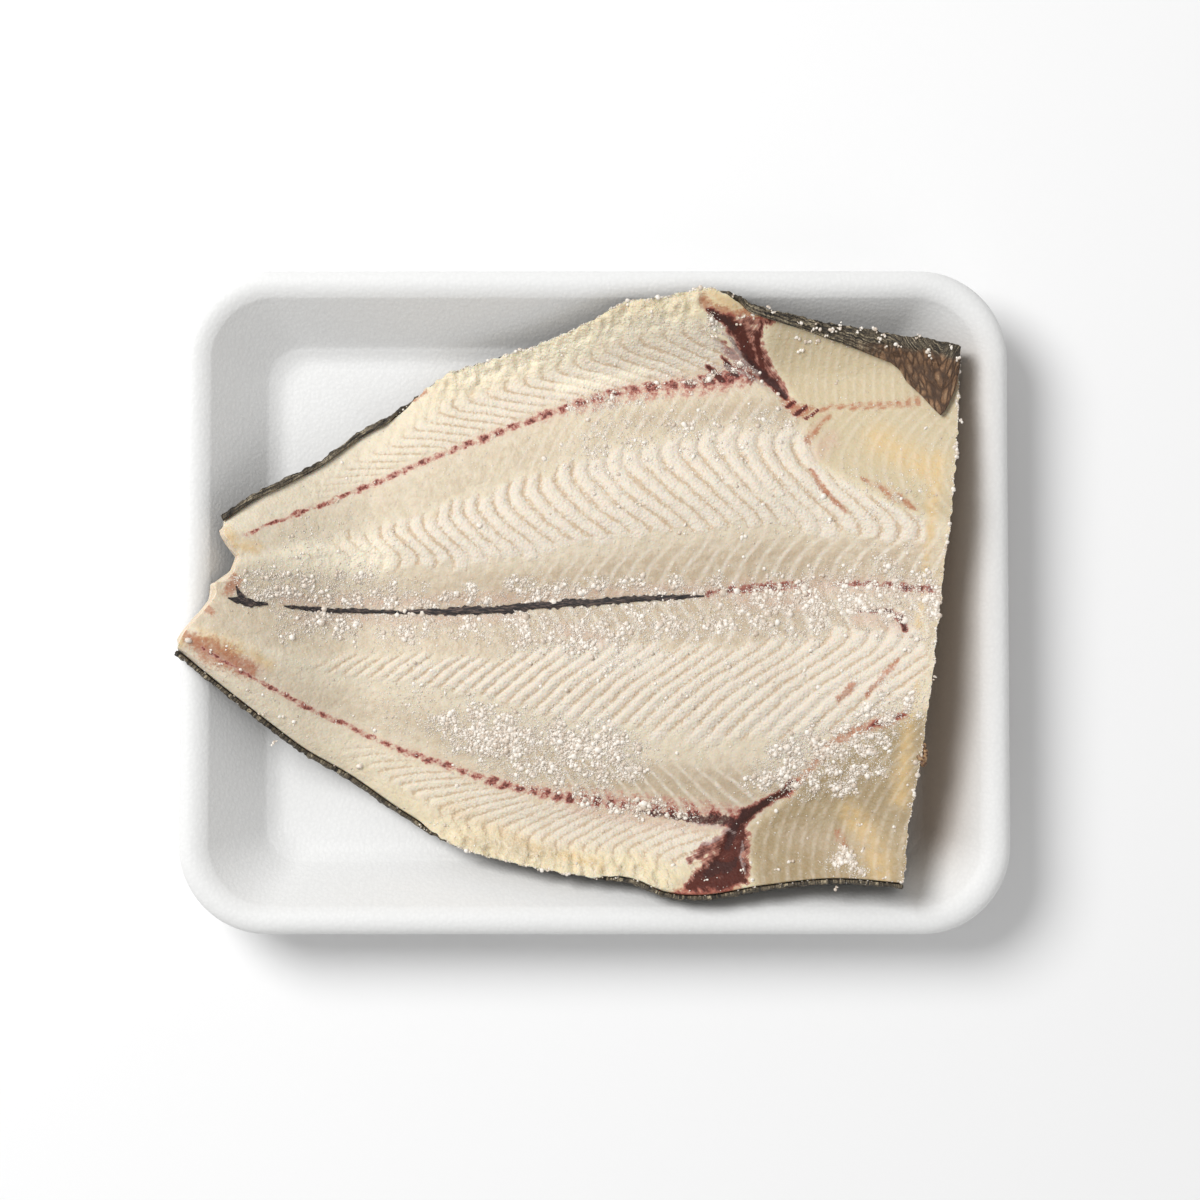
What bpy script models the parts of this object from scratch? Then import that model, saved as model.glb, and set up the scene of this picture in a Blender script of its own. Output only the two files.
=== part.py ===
"""A split piece of salt cod lying in its white foam tray.

The cod is the tail part of a fish that was opened flat, with the skin below. It is cut straight at one
end, and the tail end lies up on the rim of the tray. Sizes are in millimetres here and become metres in
the meshes. The origin is the middle of the underside of the tray, with +X towards the cut end, +Y towards
the edge where the skin is folded over, and +Z up.
"""

import math
from collections import namedtuple
from random import Random

import bmesh
import bpy
import numpy as np
from mathutils import Euler, Matrix, Vector

MM = 0.001

# Tray
TRAY_LENGTH = 280.0
TRAY_WIDTH = 224.6
RIM_RADIUS = 30.0
FOAM = 4.5
CORNER_STEPS = 7
# Each ring of the tray: inset from the rim at the ends, inset at the sides, corner radius, height.
OUTSIDE_RINGS = (
    (31.0, 27.5, 12.0, 0.0),
    (27.0, 24.0, 13.0, 1.3),
    (23.5, 21.0, 14.5, 4.6),
    (9.6, 9.0, 22.0, 18.6),
    (7.6, 7.2, 23.5, 19.8),
    (1.6, 1.6, 28.5, 20.0),
    (0.3, 0.3, 29.7, 21.2),
)
INSIDE_RINGS = (
    (0.0, 0.0, 30.0, 24.0),
    (0.9, 0.9, 29.2, 25.9),
    (3.0, 3.0, 27.5, 27.0),
    (6.0, 5.8, 25.0, 26.9),
    (9.2, 8.6, 22.5, 25.5),
    (12.0, 11.0, 20.5, 22.9),
    (25.4, 22.2, 13.5, 9.3),
    (28.6, 25.2, 12.0, 6.6),
    (32.2, 28.2, 10.5, 5.0),
    (36.0, 31.0, 9.5, FOAM),
)

# How the stiff fish beds in the tray. Its underside rests on the floor and rises to the rim within the two
# spans, so it bridges the corner between floor and wall. The cut end is lifted.
BED_REST = FOAM + 0.4
BED_RISE = 23.1
BED_SPAN_SIDE = 38.5
BED_SPAN_TAIL = 65.0
BED_RIM = 4.0
CUT_END_LIFT = 12.0
CUT_END_SPAN = 75.0
# The least thickness, as a share of the full one.
LEAST_THICKNESS = 0.62

# Skin
SKIN_THICKNESS = 1.2
SKIN_GAP = 0.55

# Outlines of the flesh seen from above, as (x, y) points from the tail to the cut end.
OUTLINES = {
    "top_edge": (
        (-126, 28.5), (-116, 36), (-105.5, 42), (-94, 49), (-80.5, 59.5), (-66.5, 67), (-53, 77.5),
        (-37.5, 83), (-18.5, 88.5), (-1.5, 95), (10.5, 101), (20.5, 102), (39.5, 105), (52, 101),
        (73, 96), (93.5, 92), (114, 88.5), (124, 86),
    ),
    "upper_line": (
        (-124, 21.5), (-116, 22.5), (-99.5, 30), (-66.5, 44.5), (-30.5, 59), (2, 69.5), (36, 75),
        (53, 76), (65, 70.5), (80.5, 67), (104.5, 68.5), (123, 67),
    ),
    "upper_ridge_top": (
        (-119, 14.5), (-99, 19.5), (-66, 25.5), (-32, 35.5), (2, 46), (36, 52), (70, 52),
        (121.5, 47),
    ),
    "upper_ridge_foot": (
        (-121, 9), (-99, 13), (-66, 14.5), (-32, 14.5), (2, 19.5), (36, 24), (119, 23.5),
    ),
    "middle": (
        (-127, 3), (-111.5, -1), (-66, -2.5), (-32, -2.5), (2, 0.5), (37, 2.5), (70, 5),
        (116.5, 3),
    ),
    "lower_ridge_foot": (
        (-134, -8), (-99, -16), (-66, -15.5), (2, -12.5), (114.5, -13),
    ),
    "lower_ridge_top": (
        (-137, -11.5), (-99, -24), (-66, -30.5), (-32, -37), (15.5, -50), (66, -52), (110, -48.5),
    ),
    "lower_line": (
        (-139, -15), (-130, -17.5), (-99.5, -34.5), (-59, -51.5), (-18.5, -64.5), (24, -71),
        (46, -73), (69.5, -69), (107, -67.5),
    ),
    "bottom_edge": (
        (-141, -18.5), (-130, -27.5), (-112.5, -41.5), (-99.5, -51.5), (-85, -60), (-66, -73),
        (-45.5, -84), (-25, -89.5), (-6.5, -93), (13.5, -96), (23.5, -100), (35, -101),
        (55.5, -98), (82, -95.5), (103, -97),
    ),
}
# Half the width of the groove along the middle, and the length by which the leaning columns are measured.
MIDDLE_STRIP = 2.2
FLESH_LENGTH = 250.0

# Thickness of the flesh at the tail, the small, the great and the cut end of the piece, for each outline.
STATIONS = (0.0, 0.35, 0.7, 1.0)
THICKNESS = {
    "edge": (3.5, 4.5, 5.5, 9.0),
    "belly": (5.5, 6.5, 8.5, 13.0),
    "line": (7.0, 8.5, 11.5, 17.0),
    "shoulder": (8.0, 11.5, 16.5, 20.5),
    "loin": (8.5, 13.0, 19.5, 23.5),
    "foot": (8.0, 12.5, 18.0, 22.5),
    "middle": (7.0, 10.0, 14.5, 20.5),
}

# The rows of the top surface, from the folded edge to the other one: the two outlines a row lies between
# and its share of the way, its two kinds of thickness and how much of the second, how far the muscle blocks
# lean there, and how high their ridges stand.
Row = namedtuple("Row", "first second share kind other blend lean ridge")
ROWS = (
    Row("top_edge", "upper_line", 0.0, "edge", "belly", 0.0, 8.0, 0.15),
    Row("top_edge", "upper_line", 0.22, "edge", "belly", 0.6, 3.0, 0.3),
    Row("top_edge", "upper_line", 0.46, "belly", "line", 0.1, 0.0, 0.38),
    Row("top_edge", "upper_line", 0.74, "belly", "line", 0.6, 10.0, 0.42),
    Row("top_edge", "upper_line", 1.0, "line", "line", 0.0, 19.0, 0.12),
    Row("upper_line", "upper_ridge_top", 0.5, "line", "shoulder", 0.6, 10.0, 0.1),
    Row("upper_line", "upper_ridge_top", 1.0, "shoulder", "shoulder", 0.0, 3.0, 0.4),
    Row("upper_ridge_top", "upper_ridge_foot", 0.5, "loin", "loin", 0.0, 11.0, 0.6),
    Row("upper_ridge_top", "upper_ridge_foot", 1.0, "foot", "foot", 0.0, 20.0, 0.35),
    Row("upper_ridge_foot", "middle", 0.5, "foot", "middle", 0.5, 14.0, 0.0),
    Row("middle", "middle", MIDDLE_STRIP, "middle", "middle", 0.0, 11.0, 0.0),
    Row("middle", "middle", -MIDDLE_STRIP, "middle", "middle", 0.0, 11.0, 0.0),
    Row("middle", "lower_ridge_foot", 1.0, "foot", "foot", 0.0, 17.0, 0.3),
    Row("lower_ridge_foot", "lower_ridge_top", 0.5, "loin", "loin", 0.0, 10.0, 0.6),
    Row("lower_ridge_foot", "lower_ridge_top", 1.0, "shoulder", "shoulder", 0.0, 2.0, 0.4),
    Row("lower_ridge_top", "lower_line", 0.5, "line", "shoulder", 0.6, 10.0, 0.1),
    Row("lower_line", "bottom_edge", 0.0, "line", "line", 0.0, 19.0, 0.12),
    Row("lower_line", "bottom_edge", 0.26, "belly", "line", 0.6, 10.0, 0.42),
    Row("lower_line", "bottom_edge", 0.54, "belly", "line", 0.1, 0.0, 0.38),
    Row("lower_line", "bottom_edge", 0.78, "edge", "belly", 0.6, -6.0, 0.3),
    Row("lower_line", "bottom_edge", 1.0, "edge", "belly", 0.0, -12.0, 0.15),
)
MIDDLE_ROWS = (10, 11)
UPPER_EDGE_ROWS = range(0, 5)
LOWER_EDGE_ROWS = range(16, 21)
# Where the points of the underside lie across it.
UNDER_SHARES = (0.06, 0.15, 0.38, 0.62, 0.85, 0.94)
COLUMNS = 76
# Shares of the length between which the columns lean fully, and between which there are ridges.
FULL_SHEAR = (0.2, 0.7)
RIDGED = (0.13, 0.93)
RIDGE_FADE = 0.07

# Dark creases where the belly wall was slit: points from the edge inwards, with how deep and how wide.
CREASES = (
    ((36.5, 101), (44, 93.5), (53, 86), (56.5, 77), (65, 70.5)),
    ((24.5, -99), (40.5, -90), (46, -80.5), (66.5, -63.5)),
)
CREASE_DEPTH = 1.3
CREASE_WIDTH = 3.2

# Spans of X where the skin reaches up to the top at the two edges, and the length over which it fades out.
TOP_STRIPS = ((-140, -66),)
BOTTOM_STRIPS = ((-160, -56), (4, 120))
STRIP_FADE = 16.0
# The edge of the flesh: bevelled under a strip, and elsewhere overhanging its outermost line.
STRIP_BEVEL = 2.4
PLAIN_OVERHANG = 2.2
LOW_CORNER_INSET = 1.6
SIDE_SHARE = 0.45
HIDDEN_CLIMB = 0.12
# The flap of skin that lies over the top, as (x, width from the edge).
FLAP = (
    (39, 0.0), (49, 1.4), (66, 2.4), (74.5, 3.4), (87, 5.6), (100.5, 8.6), (103.5, 10.5), (106, 14.5),
    (110.5, 18.5), (114, 22), (117, 24.5), (118.5, 22.5), (121, 16), (124, 6.0),
)
FLAP_STEPS = 3
LEAST_FLAP = 0.7
# Air below the flap, and how far from the edge it is reached.
FLAP_AIR = 0.7
FLAP_AIR_SPAN = 3.0
# How far from an edge the skin turns from standing off sideways to standing off upwards.
CORNER_SPAN = 1.0
TOP_TURN = 0.7
# The share of their height that the ridges keep below the flap.
UNDER_FLAP = 0.2

# Black strip of membrane along the middle, as (x, half width), how far it lies above the flesh, its
# thickness and the share of its width on top.
MEMBRANE = (
    (-123, 0.3), (-117, 1.5), (-111, 0.9), (-104, 0.6), (-70, 1.0), (-45, 1.3), (0, 1.3), (25, 0.8),
    (37, 0.3),
)
MEMBRANE_GAP = 0.35
MEMBRANE_THICKNESS = 0.7
MEMBRANE_CROWN = 0.7

# Coarse salt: rows from and to, share of the length from and to, and how many grains lie there.
SALT_ZONES = (
    (8, 9, 0.40, 0.95, 7),
    (12, 13, 0.45, 0.92, 7),
    (15, 17, 0.45, 0.72, 9),
    (16, 18, 0.12, 0.32, 6),
    (17, 18, 0.80, 0.94, 5),
    (2, 4, 0.72, 0.80, 3),
    (12, 14, 0.05, 0.14, 3),
)
SALT_ON_SKIN = 9
SALT_SKIN_SPAN = (0.80, 0.97)
SALT_SIZE = (1.7, 2.6)
SALT_RAISED = 0.2
SALT_BETWEEN_ROWS = (0.2, 0.8)
SALT_SEED = 7


def clear_scene():
    for obj in list(bpy.data.objects):
        bpy.data.objects.remove(obj)


def make_collection(name):
    collection = bpy.data.collections.new(name)
    bpy.context.scene.collection.children.link(collection)
    return collection


def make_material(name, colour, roughness):
    material = bpy.data.materials.new(name)
    material.use_nodes = True
    shader = material.node_tree.nodes["Principled BSDF"]
    shader.inputs["Base Color"].default_value = (*colour, 1.0)
    shader.inputs["Roughness"].default_value = roughness
    shader.inputs["Metallic"].default_value = 0.0
    material.diffuse_color = (*colour, 1.0)
    return material


def add_object(name, bm, collection, material):
    """Finish a mesh built in millimetres and put it in its collection."""
    bmesh.ops.scale(bm, vec=(MM, MM, MM), verts=bm.verts)
    bmesh.ops.recalc_face_normals(bm, faces=bm.faces)
    mesh = bpy.data.meshes.new(name)
    bm.to_mesh(mesh)
    bm.free()
    mesh.materials.append(material)
    mesh.shade_smooth()
    mesh.set_sharp_from_angle(angle=math.radians(40))
    obj = bpy.data.objects.new(name, mesh)
    collection.objects.link(obj)
    return obj


def ease(t):
    t = min(1.0, max(0.0, t))
    return t * t * (3 - 2 * t)


def outline_height(points, x):
    """The y of a smooth curve through the points, at x."""
    xs, ys = zip(*points)
    slopes = np.gradient(np.array(ys, float), np.array(xs, float))
    x = min(xs[-1], max(xs[0], x))
    i = min(len(xs) - 2, max(0, int(np.searchsorted(xs, x)) - 1))
    width = xs[i + 1] - xs[i]
    t = (x - xs[i]) / width
    return (
        (1 + 2 * t) * (1 - t) ** 2 * ys[i]
        + t * (1 - t) ** 2 * width * slopes[i]
        + t * t * (3 - 2 * t) * ys[i + 1]
        + t * t * (t - 1) * width * slopes[i + 1]
    )


def outline_at(name, u):
    """The point of a named outline at share u of its length along X."""
    points = OUTLINES[name]
    x = points[0][0] + (points[-1][0] - points[0][0]) * u
    return x, outline_height(points, x)


def rounded_distance(x, y, half_x, half_y, radius):
    """Distance from a rounded rectangle, negative inside."""
    qx = abs(x) - (half_x - radius)
    qy = abs(y) - (half_y - radius)
    return math.hypot(max(qx, 0), max(qy, 0)) + min(max(qx, qy), 0) - radius


def side_rise(inset):
    return ease((BED_SPAN_SIDE - inset) / (BED_SPAN_SIDE - BED_RIM))


def tail_rise(x):
    return ease((BED_SPAN_TAIL - TRAY_LENGTH / 2 - x) / (BED_SPAN_TAIL - BED_RIM))


def bed_height(x, y):
    """The level on which the underside of the fish lies."""
    inset = -rounded_distance(x, y, TRAY_LENGTH / 2, TRAY_WIDTH / 2, RIM_RADIUS)
    return BED_REST + BED_RISE * max(side_rise(inset), tail_rise(x))


def under_height(x, y):
    """The underside of the flesh: above the bed by the skin and its gap."""
    return bed_height(x, y) + SKIN_THICKNESS + SKIN_GAP


def column_share(column):
    return column / (COLUMNS - 1)


def sheared_share(u, lean):
    """Share along an outline where a column that leans with the muscle blocks meets it."""
    fade = ease(u / FULL_SHEAR[0]) * ease((1 - u) / (1 - FULL_SHEAR[1]))
    return u + fade * lean / (FLESH_LENGTH)


def row_point(row, column):
    """The plan position of a grid point of the top surface."""
    place = ROWS[row]
    u = sheared_share(column_share(column), place.lean)
    x, y = outline_at(place.first, u)
    if place.first == place.second:
        return x, y + place.share
    other_x, other_y = outline_at(place.second, u)
    return x + (other_x - x) * place.share, y + (other_y - y) * place.share


def segment_distance(x, y, a, b):
    ax, ay = a
    bx, by = b[0] - ax, b[1] - ay
    t = min(1.0, max(0.0, ((x - ax) * bx + (y - ay) * by) / (bx * bx + by * by)))
    return math.hypot(x - ax - bx * t, y - ay - by * t)


def crease_drop(x, y):
    nearest = min(segment_distance(x, y, a, b) for line in CREASES for a, b in zip(line, line[1:]))
    return CREASE_DEPTH * ease(1 - nearest / CREASE_WIDTH)


def top_height(row, column, x, y):
    """The height of the top surface: underside, thickness, ridges and creases."""
    place = ROWS[row]
    u = column_share(column)
    kinds = [np.interp(u, STATIONS, THICKNESS[kind]) for kind in (place.kind, place.other)]
    thickness = kinds[0] + (kinds[1] - kinds[0]) * place.blend
    ridged = ease((u - RIDGED[0]) / RIDGE_FADE) * ease((RIDGED[1] - u) / RIDGE_FADE)
    if row in UPPER_EDGE_ROWS:
        ridged *= 1 - (1 - UNDER_FLAP) * ease((x - FLAP[0][0]) / STRIP_FADE)
    crest = place.ridge * ridged * (1 if column % 2 else -1)
    lift = CUT_END_LIFT * ease((x - TRAY_LENGTH / 2 + CUT_END_SPAN) / CUT_END_SPAN)
    rise = BED_RISE * max(side_rise(TRAY_WIDTH / 2 - abs(y)), tail_rise(x))
    level = BED_REST + SKIN_THICKNESS + SKIN_GAP + rise + lift + thickness
    least = under_height(x, y) + thickness * LEAST_THICKNESS
    return max(level, least) + crest - crease_drop(x, y)


def shown(spans, x):
    """How fully the skin strip shows at x, from 0 to 1."""
    inside = max(min(x - start, end - x) for start, end in spans)
    return ease(inside / STRIP_FADE + 0.5)


def flap_width(x):
    xs, widths = zip(*FLAP)
    return float(np.interp(x, xs, widths)) if xs[0] <= x <= xs[-1] else 0.0


def outward(points):
    """Unit plan normals of a row of points, turned to the left of its direction."""
    normals = []
    for i in range(len(points)):
        before = points[max(0, i - 1)]
        after = points[min(len(points) - 1, i + 1)]
        dx, dy = after[0] - before[0], after[1] - before[1]
        length = math.hypot(dx, dy)
        normals.append((-dy / length, dx / length))
    return normals


def edge_profile(point, normal, bare):
    """Plan positions of one edge of the flesh: its top corner, its outermost line and its lower corner."""
    cover = (SKIN_GAP + SKIN_THICKNESS) * bare
    top_inset = cover + STRIP_BEVEL * bare
    middle_inset = cover + PLAIN_OVERHANG * (1 - bare)
    return [
        Vector((point[0] - normal[0] * inset, point[1] - normal[1] * inset))
        for inset in (top_inset, middle_inset, middle_inset + LOW_CORNER_INSET)
    ]


def spread_edge_shift(plan, rows, shift):
    """Move the rows near an edge with it, less and less up to the last of them."""
    for row in rows:
        share = ROWS[row].share
        plan[row] += shift * (1 - share if rows[0] == 0 else share)


def flesh_columns():
    """For each column, its points on top and below, the outward ways, and how far skin covers each edge."""
    top = [[row_point(row, column) for column in range(COLUMNS)] for row in range(len(ROWS))]
    upper_out = outward(top[0])
    lower_out = [(-nx, -ny) for nx, ny in outward(top[-1])]
    columns = []
    for column in range(COLUMNS):
        plan = [Vector(row[column]) for row in top]
        upper_x, lower_x = plan[0].x, plan[-1].x
        upper_bare = max(shown(TOP_STRIPS, upper_x), ease((upper_x - FLAP[0][0]) / STRIP_FADE))
        lower_bare = shown(BOTTOM_STRIPS, lower_x)
        upper = edge_profile(plan[0], upper_out[column], upper_bare)
        lower = edge_profile(plan[-1], lower_out[column], lower_bare)
        spread_edge_shift(plan, UPPER_EDGE_ROWS, upper[0] - plan[0])
        spread_edge_shift(plan, LOWER_EDGE_ROWS, lower[0] - plan[-1])
        top_points = [Vector((*point, top_height(row, column, *point))) for row, point in enumerate(plan)]
        sides = []
        for (_, middle, low), corner in ((upper, top_points[0]), (lower, top_points[-1])):
            base = under_height(*middle)
            side = Vector((*middle, base + (corner.z - base) * SIDE_SHARE))
            sides.append((side, Vector((*low, under_height(*low)))))
        (upper_side, upper_low), (lower_side, lower_low) = sides
        under = []
        for share in UNDER_SHARES:
            spot = upper_low.lerp(lower_low, share).xy
            under.append(Vector((*spot, under_height(*spot))))
        columns.append(
            {
                "top": top_points,
                "below": [upper_side, upper_low, *under, lower_low, lower_side],
                "out": (Vector((*upper_out[column], 0)), Vector((*lower_out[column], 0))),
                "bare": (upper_bare, lower_bare),
            }
        )
    return columns


def zip_faces(bm, first, second):
    """Join two rows of vertices that both run towards -Y with triangles."""
    i = j = 0
    while i < len(first) - 1 or j < len(second) - 1:
        forward = j == len(second) - 1 or (i < len(first) - 1 and first[i + 1].co.y >= second[j + 1].co.y)
        if forward:
            bm.faces.new((first[i], first[i + 1], second[j]))
            i += 1
        else:
            bm.faces.new((first[i], second[j + 1], second[j]))
            j += 1


def loft(bm, rings, turned=0):
    """Join closed rings of vertices with triangles, the first turned places along the other diagonal."""
    for ring, following in zip(rings, rings[1:]):
        for i in range(len(ring)):
            j = (i + 1) % len(ring)
            if i < turned:
                bm.faces.new((ring[i], ring[j], following[i]))
                bm.faces.new((ring[j], following[j], following[i]))
            else:
                bm.faces.new((ring[i], ring[j], following[j]))
                bm.faces.new((ring[i], following[j], following[i]))


def flesh_mesh(columns):
    bm = bmesh.new()
    rings = []
    for column in columns:
        rings.append([bm.verts.new(point) for point in column["top"] + column["below"][::-1]])
    loft(bm, rings)
    for ring in (rings[0], rings[-1]):
        top = ring[: len(ROWS)]
        below = ring[len(ROWS) :][::-1]
        bm.faces.new((top[0], top[1], below[0]))
        bm.faces.new((top[-1], top[-2], below[-1]))
        zip_faces(bm, top[1:-1], below)
    return bm


def along(points, distance):
    """The point at a distance along a line of points."""
    for before, after in zip(points, points[1:]):
        step = (after - before).length
        if distance <= step:
            return before.lerp(after, distance / step)
        distance -= step
    return points[-1].copy()


def share_between(low, high, value):
    return min(1.0, max(0.0, (value - low) / (high - low)))


def skin_upper_end(column):
    """The rows of skin up the side and over the top, as (point, way it stands off), from its end down."""
    up = Vector((0, 0, 1))
    side, corner = column["below"][0], column["top"][0]
    out, bare = column["out"][0], column["bare"][0]
    climb = (corner - side).length
    flap = max(LEAST_FLAP, flap_width(corner.x))
    rows = []
    for step in range(FLAP_STEPS, -1, -1):
        share = step / FLAP_STEPS
        hidden = HIDDEN_CLIMB * (1 + share) * climb
        distance = hidden + (climb + flap * share - hidden) * bare
        air = FLAP_AIR * share_between(climb, climb + FLAP_AIR_SPAN, distance)
        point = along([side, *column["top"]], distance) + up * air
        outwards = share_between(climb + CORNER_SPAN, climb, distance)
        upwards = share_between(climb - CORNER_SPAN, climb, distance)
        rows.append((point, out * outwards + up * upwards))
    return rows


def skin_sections(columns):
    """For each column, points of the flesh that the skin follows, each with the way it stands off there."""
    up = Vector((0, 0, 1))
    sections = []
    for column in columns:
        upper_side, *under, lower_side = column["below"]
        upper_out, lower_out = column["out"]
        lower_bare = column["bare"][1]
        section = skin_upper_end(column)
        section.append((upper_side, upper_out))
        section.append((under[0], upper_out - up))
        section.extend((point, -up) for point in under[1:-1])
        section.append((under[-1], lower_out - up))
        section.append((lower_side, lower_out))
        climb = lower_side.lerp(column["top"][-1], HIDDEN_CLIMB + (1 - HIDDEN_CLIMB) * lower_bare)
        section.append((climb, lower_out + up * share_between(TOP_TURN, 1.0, lower_bare)))
        sections.append(section)
    return sections


def skin_mesh(columns):
    """A closed shell that follows the flesh at a small distance, with both its sides split alike."""
    bm = bmesh.new()
    rings = []
    for section in skin_sections(columns):
        inner = [point + way * SKIN_GAP for point, way in section]
        outer = [point + way * (SKIN_GAP + SKIN_THICKNESS) for point, way in section]
        rings.append([bm.verts.new(point) for point in outer + inner[::-1]])
    loft(bm, rings, turned=len(outer) - 1)
    for ring in (rings[0], rings[-1]):
        for i in range(len(ring) // 2 - 1):
            bm.faces.new((ring[i], ring[i + 1], ring[-2 - i], ring[-1 - i]))
    return bm


def ring_points(inset_x, inset_y, radius, height):
    """A rounded rectangle, as points going round."""
    half_x = TRAY_LENGTH / 2 - inset_x - radius
    half_y = TRAY_WIDTH / 2 - inset_y - radius
    points = []
    for corner, (sx, sy) in enumerate(((1, 1), (-1, 1), (-1, -1), (1, -1))):
        for step in range(CORNER_STEPS + 1):
            angle = math.pi / 2 * (corner + step / CORNER_STEPS)
            x = sx * half_x + radius * math.cos(angle)
            y = sy * half_y + radius * math.sin(angle)
            points.append((x, y, height))
    return points


def make_tray(collection):
    """The foam tray: rounded rectangles lofted up the outside, over the rim and down to the floor."""
    bm = bmesh.new()
    rings = [[bm.verts.new(p) for p in ring_points(*ring)] for ring in OUTSIDE_RINGS + INSIDE_RINGS]
    loft(bm, rings)
    bm.faces.new(rings[0][::-1])
    bm.faces.new(rings[-1])
    material = make_material("white foam", (0.88, 0.88, 0.87), 0.55)
    return add_object("tray", bm, collection, material)


def membrane_half_width(x):
    xs, widths = zip(*MEMBRANE)
    return float(np.interp(x, xs, widths))


def make_membrane(columns, collection):
    """The black strip, a flat ribbon in the groove along the middle."""
    bm = bmesh.new()
    sections = []
    for column in columns:
        first, second = (column["top"][row] for row in MIDDLE_ROWS)
        centre = (first + second) / 2
        if not MEMBRANE[0][0] <= centre.x <= MEMBRANE[-1][0]:
            continue
        across = (first - second).normalized() * membrane_half_width(centre.x)
        low = Vector((0, 0, MEMBRANE_GAP))
        high = Vector((0, 0, MEMBRANE_GAP + MEMBRANE_THICKNESS))
        crown = across * MEMBRANE_CROWN
        section = (centre - across + low, centre + across + low, centre + crown + high, centre - crown + high)
        sections.append([bm.verts.new(point) for point in section])
    loft(bm, sections)
    bm.faces.new(sections[0])
    bm.faces.new(sections[-1])
    material = make_material("black membrane", (0.03, 0.025, 0.03), 0.5)
    return add_object("centre_membrane", bm, collection, material)


def salt_grain(centre, random, collection):
    """One cubic crystal, turned at random and sunk by part of its size."""
    size = random.uniform(*SALT_SIZE)
    bm = bmesh.new()
    turn = Euler([random.uniform(0, math.pi) for _ in range(3)]).to_matrix().to_4x4()
    place = Matrix.Translation(centre + Vector((0, 0, size * SALT_RAISED)))
    bmesh.ops.create_cube(bm, size=size, matrix=place @ turn)
    return add_object("salt_grain", bm, collection, bpy.data.materials["salt"])


def fuse(obj, name, collection):
    """Join the grains of a collection to the object with one Boolean union, and remove them."""
    modifier = obj.modifiers.new("salt", "BOOLEAN")
    modifier.operation = "UNION"
    modifier.operand_type = "COLLECTION"
    modifier.collection = collection
    modifier.solver = "MANIFOLD"
    graph = bpy.context.evaluated_depsgraph_get()
    mesh = bpy.data.meshes.new_from_object(obj.evaluated_get(graph))
    mesh.name = name
    obj.modifiers.clear()
    obj.data = mesh
    for grain in list(collection.objects):
        bpy.data.objects.remove(grain)
    bpy.data.collections.remove(collection)


def salt_on_flesh(flesh, columns, random):
    grains = make_collection("salt on flesh")
    for first_row, last_row, start, end, count in SALT_ZONES:
        for step in range(count):
            share = start + (end - start) * (step + random.random()) / count
            column = round(share * (COLUMNS - 1))
            row = random.randint(first_row, last_row - 1)
            top = columns[column]["top"]
            salt_grain(top[row].lerp(top[row + 1], random.uniform(*SALT_BETWEEN_ROWS)), random, grains)
    fuse(flesh, "cod_flesh", grains)


def salt_on_skin(skin, columns, random):
    grains = make_collection("salt on skin")
    sections = skin_sections(columns)
    start, end = SALT_SKIN_SPAN
    for step in range(SALT_ON_SKIN):
        share = start + (end - start) * (step + random.random()) / SALT_ON_SKIN
        section = sections[round(share * (COLUMNS - 1))]
        point, way = section[random.randint(1, FLAP_STEPS - 1)]
        salt_grain(point + way * (SKIN_GAP + SKIN_THICKNESS), random, grains)
    fuse(skin, "cod_skin", grains)


def make_skin(columns, collection):
    material = make_material("dark skin", (0.09, 0.07, 0.05), 0.6)
    return add_object("cod_skin", skin_mesh(columns), collection, material)


def make_flesh(columns, collection):
    material = make_material("cod flesh", (0.80, 0.70, 0.52), 0.55)
    return add_object("cod_flesh", flesh_mesh(columns), collection, material)


def main():
    clear_scene()
    collection = make_collection("salt_cod_in_tray")
    make_tray(collection)
    columns = flesh_columns()
    make_material("salt", (0.9, 0.89, 0.86), 0.3)
    random = Random(SALT_SEED)
    salt_on_flesh(make_flesh(columns, collection), columns, random)
    salt_on_skin(make_skin(columns, collection), columns, random)
    make_membrane(columns, collection)


main()
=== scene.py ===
"""The looks of a split piece of salt cod in its white foam tray.

The solids give the frame: +X towards the cut end, +Y towards the folded edge, +Z up, with the origin below
the middle of the tray. Shapes are worked out in millimetres. What is drawn on the flesh, such as its blood
lines, is placed by pixels of the photograph, through the same camera that the scene renders with.
"""

import math
from collections import namedtuple

import bmesh
import bpy
import numpy as np
from mathutils import Matrix, Vector
from mathutils.kdtree import KDTree

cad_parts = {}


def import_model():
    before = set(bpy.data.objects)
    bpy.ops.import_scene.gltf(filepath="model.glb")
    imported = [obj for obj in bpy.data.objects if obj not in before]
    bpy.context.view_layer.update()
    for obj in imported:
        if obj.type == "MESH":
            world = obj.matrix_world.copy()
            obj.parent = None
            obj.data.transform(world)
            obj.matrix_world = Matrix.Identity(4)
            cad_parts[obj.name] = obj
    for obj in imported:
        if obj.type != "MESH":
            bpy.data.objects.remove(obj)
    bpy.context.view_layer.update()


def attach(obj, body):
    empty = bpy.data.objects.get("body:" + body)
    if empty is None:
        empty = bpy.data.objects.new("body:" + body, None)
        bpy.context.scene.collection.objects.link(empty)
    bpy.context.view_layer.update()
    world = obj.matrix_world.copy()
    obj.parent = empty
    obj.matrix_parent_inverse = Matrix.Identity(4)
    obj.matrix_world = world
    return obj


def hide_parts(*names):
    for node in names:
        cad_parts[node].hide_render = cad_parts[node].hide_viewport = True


MM = 0.001

# The camera that took the photograph, in millimetres, and the photograph's size in pixels.
AIM = np.array([1.86, 0.1, 27.0])
DISTANCE = 1100.0
TILT = math.radians(3.3)
SENSOR = 36.0
LENS = 97.8
PHOTO_SIZE = 1200
# The camera's focal length in pixels, and the size of a pixel at the fish, in millimetres.
FOCUS = LENS / SENSOR * PHOTO_SIZE
PIXEL = DISTANCE / FOCUS

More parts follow.
